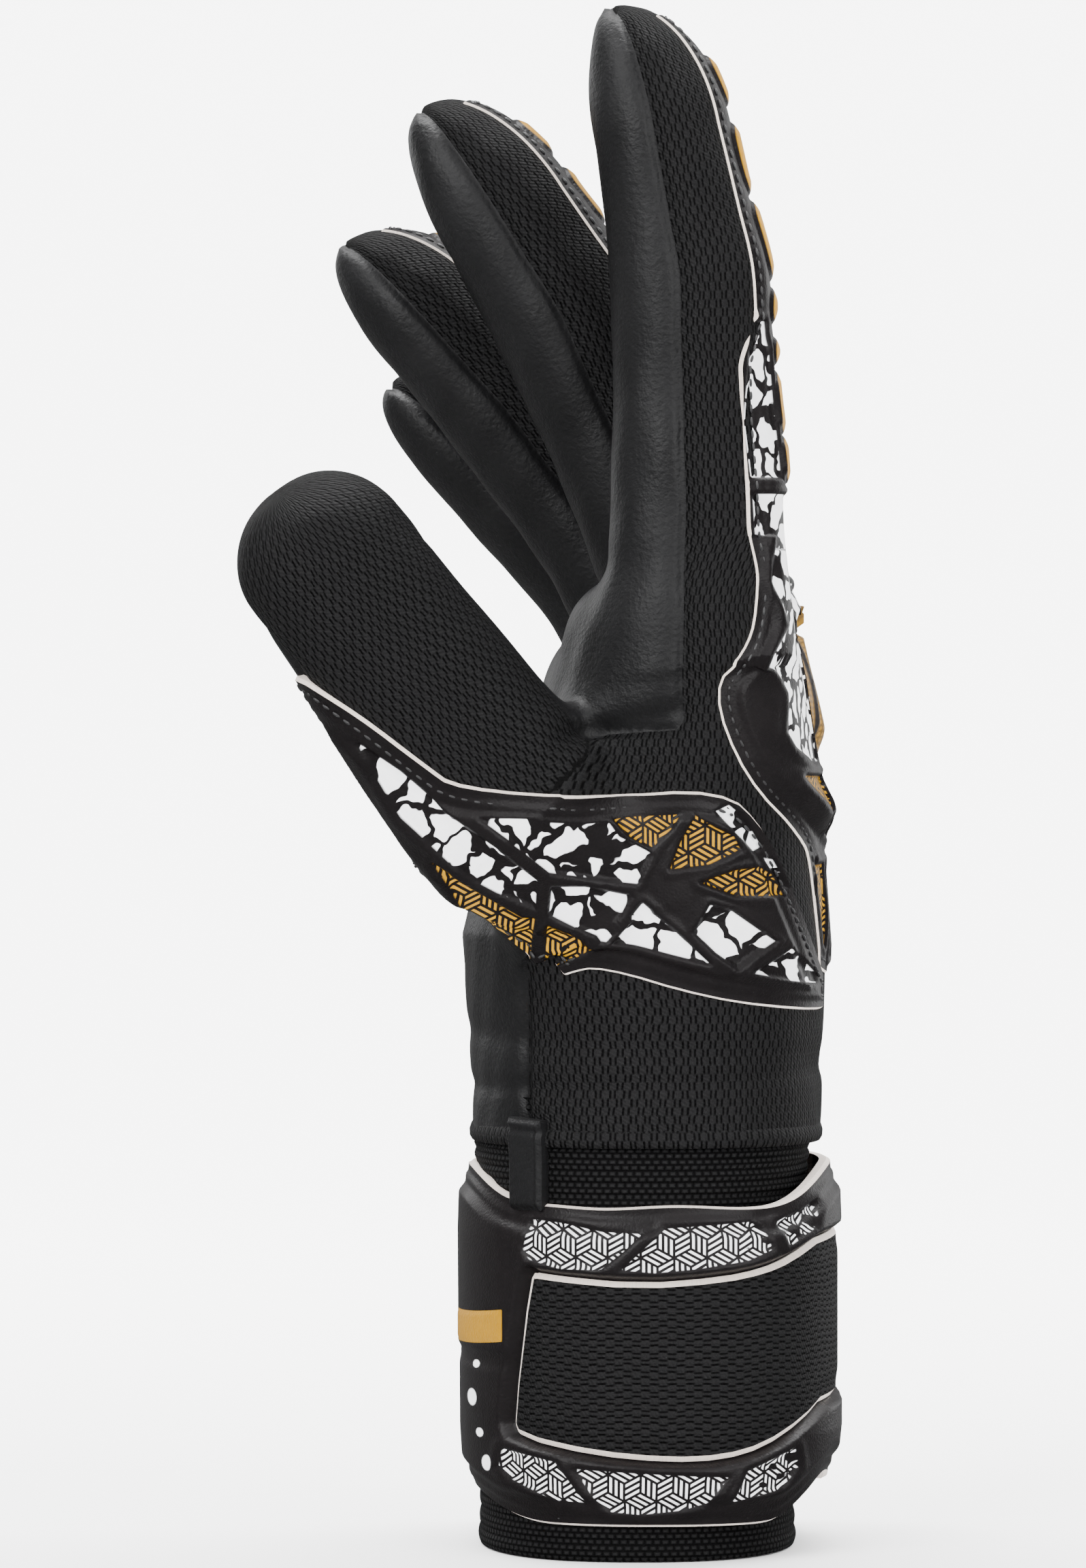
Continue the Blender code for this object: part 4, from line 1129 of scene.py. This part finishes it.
def back_prints(P, f):
    """Windows of the backhand: white blobs, gold stripes and raised gold ribs."""
    x, y, z = P.T
    w, across = f["along"], np.abs(f["u"])
    size = np.array([finger.length + span for finger, span in zip(FINGERS, TIP_SPAN)]) / RIB_LENGTH
    size = size[f["which"]]
    rib = np.full(len(w), FAR)
    for start, end, half in GOLD_RIBS:
        middle, reach = (start + end) / 2 * size, (end - start) / 2 * size - half
        rib = np.minimum(rib, np.hypot(np.clip(np.abs(w - middle) - reach, 0, None), across) - half)
    rib = np.where((f["w"] > -3) & (f["rise"] < 0.75), rib, FAR)
    beside = np.maximum(np.abs(across - 7.0) - 2.7 + 0.06 * np.clip(w - 20 * size, 0, 40),
                        np.abs(w - 24 * size) - 14 * size)
    full = np.maximum(across - 9.6, np.abs(w - 1) - 6)
    white = np.where(f["w"] > -8, np.minimum(beside, full), FAR)
    white = np.minimum(white, np.where(f["w"] < -8, mirrored(y, f["z"], BACK_WHITE), FAR))
    gold = np.where(f["w"] < -3, np.minimum(mirrored(y, f["z"], BACK_GOLD), FAR), FAR)
    near = (y < -24) & (f["z"] < 190)
    shape = polygon(x, z, NEAR_WHITE)
    white = np.where(near, np.where(z < 184, shape, np.minimum(white, shape)), white)
    gold = np.where(near, polygons(x, z, NEAR_GOLD), gold)
    return white, gold, rib


def make_backhand(V, T, f):
    P, tri, N = near_region(V, T, back_field(V, f))
    x, y, z = P.T
    g = skin_facts(P)
    field = np.maximum(back_field(P, g), g["on_thumb"] * 20 - 10)
    field = np.maximum(field, -N[:, 0] * 10 - 4)
    white, gold, rib = back_prints(P, g)
    window = np.minimum(white, gold)
    flat = smooth((-field - 0.8) / 1.2) * 0.35 + smooth((-field - 2.2) / 1.5) * 0.75
    on_finger = smooth((g["w"] + 8) / 10)
    # waves below the knuckles, and a swelling under the guard
    waves = smooth((-field - 2.5) / 3) * smooth((143 - z) / 4) * (1.6 + 1.0 * np.cos((z - 121.5) * 0.48))
    swell = waves + 1.5 * smooth((-field - 4) / 14) * smooth((-4 - g["w"]) / 12) * smooth((z - 128) / 12)
    top = (0.8 + flat * (1 - 0.35 * on_finger) + swell - 0.5 * smooth(-(window - 0.5) / 0.9)
           + 1.2 * np.sqrt(np.clip(-(rib - 0.6) / 2.2, 0, 1)))
    top += 0.45 * np.exp(-((window - 0.9) / 0.8) ** 2)
    hand_side = y - (x - 28) * np.clip(y / 10, -1, 1)
    finger_side = g["u"] - (g["v"] - 12) * np.clip(g["u"] / 5, -1, 1)
    past = g["w"] > -3
    uv = np.stack([np.where(past, finger_side, hand_side), np.where(past, g["along"], g["z"]), 0 * white], 1)
    data = shell(P, tri, N, field, top, -0.5, [uv, white, gold, rib])
    put_pieces("back", data, [MAT["panel"], MAT["edge"]], 1.6, white=white, gold=gold, rib=rib)


def make_guard(V, T, f):
    outline = chaikin(GUARD, 2)

    def guard_field(P, g):
        return np.maximum(polygon(P[:, 1] - WIDTH_CENTRE_Y, g["z"], outline), 4 - P[:, 0])

    P, tri, N = near_region(V, T, guard_field(V, f))
    g = skin_facts(P)
    field = guard_field(P, g)
    y, z = P[:, 1] - WIDTH_CENTRE_Y, g["z"]
    black = np.abs(np.mod(y + 8.6, 17.2) - 8.6) - 0.9
    white = polygons(y, z, [((c - 5, 156), (c + 5, 156), (c, 147)) for c in (-25.8, -8.6, 8.6, 25.8)])
    white = np.minimum(white, FAR)
    top = 2.6 + 2.2 * smooth((-field - 0.2) / 4.5) - 0.9 * np.exp(-(black / 1.3) ** 2)
    piece, _ = lay_piece("knuckle_guard_cover", (P, tri, N), field, top, 1.4, [MAT["guard"]], lip=0.2,
                         st=np.stack([y, z, 0 * y], 1), white=white, black=black)
    settle_piece(piece, "hand", "guard", "knuckle_guard")


# ------------------------------------------------------------------ wrist

def wrist_place(levels, angle, z, out=0.0):
    low, high, half = (np.interp(z, levels[:, 0], levels[:, c]) for c in (1, 2, 3))
    c, s = np.cos(angle), np.sin(angle)
    c, s = np.sign(c) * np.abs(c) ** (2 / HAND_POWER), np.sign(s) * np.abs(s) ** (2 / HAND_POWER)
    x = (low + high) / 2 + ((high - low) / 2 + out) * c
    return np.stack([x, WIDTH_CENTRE_Y + (half + out) * s, z + 0 * x], -1)


def grid_triangles(n, m, ring=False, tube=False):
    """Triangle pairs between n rows of m points; a ring joins the last row to the first."""
    ids = np.arange(n * m).reshape(n, m)
    if tube:
        ids[:, -1] = ids[:, 0]
    if ring:
        ids = np.concatenate([ids, ids[:1]])
    a, b, c, d = ids[:-1, :-1], ids[1:, :-1], ids[1:, 1:], ids[:-1, 1:]
    return np.concatenate([np.stack(corners, -1).reshape(-1, 3) for corners in ((a, b, c), (a, c, d))])


def wrist_grid(levels, angles, heights):
    """A band round the wrist: points, triangles, normals, arc length against height, turn in degrees."""
    A, Z = np.meshgrid(angles, heights, indexing="ij")
    P = wrist_place(levels, A, Z)
    step = 1e-3
    da = wrist_place(levels, A + step, Z) - wrist_place(levels, A - step, Z)
    N = unit(np.cross(da, np.array([0.0, 0.0, 1.0])))
    uv = np.stack([np.repeat(arc_length(P[:, 0]), len(heights)), Z.ravel(), 0 * Z.ravel()], 1)
    return P.reshape(-1, 3), grid_triangles(*A.shape), N.reshape(-1, 3), uv, np.degrees(A).ravel()


def even_angles(levels, start, end, step):
    """Angles a fixed arc length apart."""
    fine = np.radians(np.linspace(start, end, 4000))
    arc = arc_length(wrist_place(levels, fine, np.full(4000, 40.0)))
    return np.interp(np.linspace(0, arc[-1], int(arc[-1] / step) + 1), arc, fine)


def wrist_rows(levels, rows, step):
    """Points round the wrist for rows of height and distance out."""
    angles = even_angles(WRIST, 0, 360, step)[:-1]
    return np.stack([wrist_place(levels, angles, np.full(len(angles), z), out) for z, out in rows], 1)


def make_sleeve(name, low, high, node, profile):
    """A knitted tube with thickness: outside, rim, inside."""
    heights = np.arange(low, high + 0.01, 0.5)
    rows = [(z, profile(z)) for z in heights]
    rows += [(high - 0.25, -1.0)] + [(z, -2.0) for z in heights[::-4]] + [(low + 0.25, -1.0), rows[0]]
    P = wrist_rows(WRIST, rows, 1.2)
    n, m = P.shape[:2]
    uv = np.stack([np.repeat(arc_length(P[:, 0]), m), np.tile([r[0] for r in rows], n), np.zeros(n * m)], 1)
    piece = add(name, P.reshape(-1, 3), grid_triangles(n, m, ring=True, tube=True), [MAT["knit"]], st=uv)
    settle_piece(piece, "hand", "knit", node)


def cuff_profile(z):
    return 0.35 * abs(math.sin(math.pi * z / 3.4)) + 0.25 * math.exp(-((z - 2) / 2) ** 2)


def bandage_profile(z):
    return 0.5 * abs(math.sin(math.pi * (z - 56) / 2.4)) + 0.35 - 1.3 * float(smooth((z - 73.5) / 2))


def make_hem():
    """Where the hand's cloth is folded over the bandage."""
    rows = [(HEM + a, b) for a, b in ((-0.2, -0.9), (-0.7, 0.0), (-0.6, 0.6), (0.1, 1.0), (1.2, 1.05),
                                      (2.2, 0.7), (2.8, 0.2), (3.2, -0.8))]
    P = wrist_rows(HAND, rows, 1.0)
    n, m = P.shape[:2]
    P = P.reshape(-1, 3)
    uv = np.stack([np.repeat(np.arange(n) * 1.0, m), P[:, 2], np.zeros(n * m)], 1)
    piece = add("hem", P, grid_triangles(n, m, ring=True), [MAT["mesh"]], st=uv)
    settle_piece(piece, "hand", "air_mesh")


def strap_region(P):
    """Top and bottom edges of the strap: both dip towards the thumb side, and the back corner is cut."""
    x, y, z = P.T
    near = smooth((-y + 6) / 46) ** 3
    top = 70.2 - 6.6 * near + 0.25 * np.sin(x * 0.23)
    bottom = 11.2 - 4.2 * near + 4.5 * smooth((x - 24) / 13) * smooth((6 - y) / 30)
    return np.maximum(z - top, bottom - z)


def strap_piece(name, body, node, surface, field, top, bottom, uv, **prints):
    """A padded, printed and stitched panel of the strap."""
    extra = dict(dot=0.5 - prints.pop("dot")) if "dot" in prints else {}
    piece, paths = lay_piece(name + "_cover", surface, field, top, bottom, [MAT["panel"], MAT["edge"]],
                             st=uv, **print_fields(len(field), **prints), **extra)
    settle_piece(piece, body, "embossed_panel", node, fill=0.8)
    threads = add(name + "_stitches", *stitches(paths, 1.9), [MAT["thread"]])
    settle_piece(threads, body, "embossed_panel")


def make_strap():
    step = 0.5
    P, T, N, uv, turn = wrist_grid(STRAP, even_angles(STRAP, 166, 386, step), np.arange(6.5, 71.6, step))
    x, y, z = P.T
    thumb_side = y < -3
    field = np.maximum(strap_region(P), np.maximum(168 - turn, turn - 384) * 0.7)
    window = np.where(thumb_side, polygons(x, z, STRAP_BLOCKS), FAR)
    # towards the back, pieces of the prints are missing
    gaps = np.sin(x * 1.9 + z * 0.7) + np.sin(z * 2.3 - x * 0.8) + 0.9 * np.sin(x * 0.9 + z * 1.7 + 2)
    worn = np.maximum(window, (gaps - 3.0 + 0.2 * np.clip(x - 15, 0, 15)) * 0.5)
    dots = np.min([(np.hypot((x - a) / c, (z - b) / d) - 1) * min(c, d) for a, b, c, d in STRAP_DOTS], axis=0)
    dots = np.where(thumb_side, dots, FAR)
    inset = polygon(np.where(thumb_side | (x < 0), x, 36 + 0.5 * (y + 3)), z, chaikin(INSET, 1))
    inset = np.maximum(inset, y - 12)
    band = smooth((-field - 1.2) / 1.0) * 0.5 + smooth((-field - 3.2) / 2.2) * 1.2
    left = smooth((-22.5 - x) / 2.5) * thumb_side
    middle = smooth((inset - 0.4) / 1.8)
    raised = 0.9 * smooth((z - 36.2) / 1.2) + 0.5 * smooth((12 - np.abs(z - 23)) / 2)
    top = (-1.3 + band - 0.6 * smooth(-(window - 0.4) / 0.9) + 0.3 * np.exp(-((window - 1.0) / 0.8) ** 2)
           + left * raised * 0.6)
    top = top * middle + (1 - middle) * -2.2
    strap_piece("strap", "hand", "strap_body", (P, T, N), field, top, -3.4, uv, dot=dots, block=worn)
    make_inset(P, T, N, uv, inset)


def make_inset(P, T, N, uv, inset):
    """Mesh in the strap's window."""
    T, P, N, uv, inside = clip(T, inset + 0.3, P, N, uv, inset)
    top = np.full(len(P), -0.75) + 0.35 * smooth((-inside - 1) / 3)
    piece, _ = lay_piece("strap_inset_cover", (P, T, N), np.full(len(P), -1.0), top, -2.6,
                         [MAT["mesh"], MAT["edge"]], lip=1.0, st=uv[:, [1, 0, 2]])
    settle_piece(piece, "hand", "air_mesh", "strap_mesh_inset")


def make_strap_tab():
    """The tab that closes over the little-finger side."""
    step = 0.5
    P, T, N, uv, turn = wrist_grid(STRAP, even_angles(STRAP, 27.5, 163.5, step), np.arange(15, 68, step))
    x, _, z = P.T
    round_end = np.maximum(28.6 + 5 * ((z - 41.5) / 24) ** 4 - turn, turn - 163) * 0.7
    field = np.maximum(np.maximum(z - 65.6, 17.4 - z), round_end)
    gold, block = polygons(x, z, TAB_GOLD), polygons(x, z, TAB_BLOCKS)
    window = np.minimum(gold, block)
    band = smooth((-field - 1.2) / 1.0) * 0.5 + smooth((-field - 3.2) / 2.2) * 1.0
    top = -0.9 + band - 0.6 * smooth(-(window - 0.4) / 0.9)
    strap_piece("strap_tab", "strap_tab", "strap_tab", (P, T, N), field, top, -1.6, uv,
                gold=gold, block=block)


def make_pull_tab():
    """Folded latex loop sewn into the bandage."""
    levels = np.concatenate([WRIST, [[100, -30.5, 32.2, 43]]])
    angles = np.radians(np.linspace(222, 243, 60))
    P, T, N, _, turn = wrist_grid(levels, angles, np.arange(62, 82, 0.4))
    x, _, z = P.T
    above = z + 0.09 * (x + 21)
    field = np.maximum(np.maximum(above - 79.6, 63 - z), (np.abs(turn - 232.6) - 7.4) * 0.72)
    top = (2.2 + 0.9 * smooth(-field / 1.2) - 0.5 * np.exp(-((above - 77.6) / 0.7) ** 2)
           + 0.5 * smooth((turn - 237.5) / 1.5))
    piece, _ = lay_piece("pull_tab_cover", (P, T, N), field, top, 0.3, [MAT["latex"]], lip=0.1)
    settle_piece(piece, "hand", "latex", "pull_tab")


def make_label():
    """Plain gold band on the strap."""
    angles = np.radians(np.linspace(184, 226, 100))
    P, T, N, _, turn = wrist_grid(STRAP, angles, np.arange(36, 52, 0.4))
    x, _, z = P.T
    slope = 0.18 * (x + 28)
    field = np.maximum(np.abs(z - 41.3 - slope) - 2.9, (np.abs(turn - 204.5) - 18.5) * 0.7)
    top = 0.95 + 0.25 * smooth(-field / 1.0)
    piece, _ = lay_piece("gold_band", (P, T, N), field, top, 0.1, [MAT["band"]], lip=0.05)
    settle_piece(piece, "hand", "gold_band", "strap_label")


def make_wrist():
    make_sleeve("cuff_cover", 0.3, 56, "cuff_knit", cuff_profile)
    make_sleeve("bandage_cover", 56.2, 83.5, "wrist_bandage", bandage_profile)
    make_strap()
    make_strap_tab()
    make_pull_tab()
    make_hem()
    make_label()


# ------------------------------------------------------------------ CAD nodes that stay

def dress_cad():
    for node, name, dark, light, scale, depth in (
            ("palm_lining", "lining", (0.012, 0.012, 0.013), (0.04, 0.04, 0.042), 900, 0.0004),
            ("loop_patch", "loop_patch", (0.008, 0.008, 0.009), (0.03, 0.03, 0.03), 1500, 0.0006),
            ("hook_patch", "hook_patch", (0.01, 0.01, 0.01), (0.05, 0.05, 0.05), 1300, 0.0005)):
        materials = frame["nodes"][node].data.materials
        materials.clear()
        materials.append(make_cad_material(name, dark, light, scale, depth))


# ------------------------------------------------------------------ studio

VIEW_CENTRE = np.array([-17.35, -38.6, 139.7])
VIEW_HEIGHT, VIEW_DISTANCE = 281.8, 1300.0


def make_camera():
    data = bpy.data.cameras.new("camera")
    data.sensor_fit = "VERTICAL"
    data.sensor_height = 24.0
    data.lens = data.sensor_height * VIEW_DISTANCE / VIEW_HEIGHT
    data.clip_start, data.clip_end = 0.05, 50.0
    camera = bpy.data.objects.new("camera", data)
    camera.location = at(VIEW_CENTRE - np.array([0, VIEW_DISTANCE, 0]))
    camera.rotation_euler = (math.pi / 2, 0, 0)
    bpy.context.scene.collection.objects.link(camera)
    bpy.context.scene.camera = camera


def area_light(name, place, target, size, power):
    data = bpy.data.lights.new(name, "AREA")
    data.shape, data.size, data.size_y = "RECTANGLE", size[0], size[1]
    data.energy = power
    light = bpy.data.objects.new(name, data)
    light.location = place
    light.rotation_euler = (Vector(target) - Vector(place)).to_track_quat("-Z", "Y").to_euler()
    bpy.context.scene.collection.objects.link(light)


def make_studio():
    rows = [(-3.0, 0.0), (1.2, 0.0)]
    rows += [(1.2 + 0.8 * math.sin(t), 0.8 - 0.8 * math.cos(t)) for t in np.radians(np.arange(10, 91, 10))]
    rows += [(2.0, 4.0)]
    mesh = bpy.data.meshes.new("backdrop")
    points = [(x, y, z) for y, z in rows for x in (-5.0, 5.0)]
    mesh.from_pydata(points, [], [(2 * k, 2 * k + 1, 2 * k + 3, 2 * k + 2) for k in range(len(rows) - 1)])
    mesh.polygons.foreach_set("use_smooth", [True] * len(mesh.polygons))
    floor = bpy.data.objects.new("backdrop", mesh)
    s = Shade("backdrop")
    v = Value(s, s.tree.nodes.new("ShaderNodeTexCoord").outputs["Object"])
    colour = s.mix(s.noise(v, 3.0), (0.93, 0.93, 0.93), (0.95, 0.95, 0.95))
    floor.data.materials.append(s.finish(colour, 0.9, Specular_IOR_Level=0.1))
    floor.visible_glossy = False       # mirrored, the bright backdrop would veil the black foam
    bpy.context.scene.collection.objects.link(floor)
    world = bpy.data.worlds.new("studio")
    world.use_nodes = True
    world.node_tree.nodes["Background"].inputs["Color"].default_value = (1, 1, 1, 1)
    world.node_tree.nodes["Background"].inputs["Strength"].default_value = 0.3
    bpy.context.scene.world = world
    centre = (0.0, 0.0, 0.15)
    area_light("key", (-0.7, -1.05, 0.8), centre, (0.8, 1.1), 34)
    area_light("fill", (0.9, -1.2, 0.6), centre, (1.2, 1.2), 32)
    area_light("rim", (-0.5, 0.7, 0.6), centre, (0.4, 0.9), 3)
    area_light("back", (0.6, 0.7, 0.4), centre, (0.4, 0.9), 3)
    area_light("wall", (0.0, 0.6, 1.9), (0.0, 2.0, 0.5), (3.0, 0.8), 260)
    area_light("top", (0.0, 0.0, 2.2), (0.0, 0.3, 0.0), (3.0, 3.0), 84)


def main():
    V, T, N = make_skin()
    f = skin_facts(V)
    dress_skin(V, T, N)
    make_leaf(V, T)
    make_backhand(V, T, f)
    make_guard(V, T, f)
    make_wrist()
    dress_cad()
    make_camera()
    make_studio()


main()
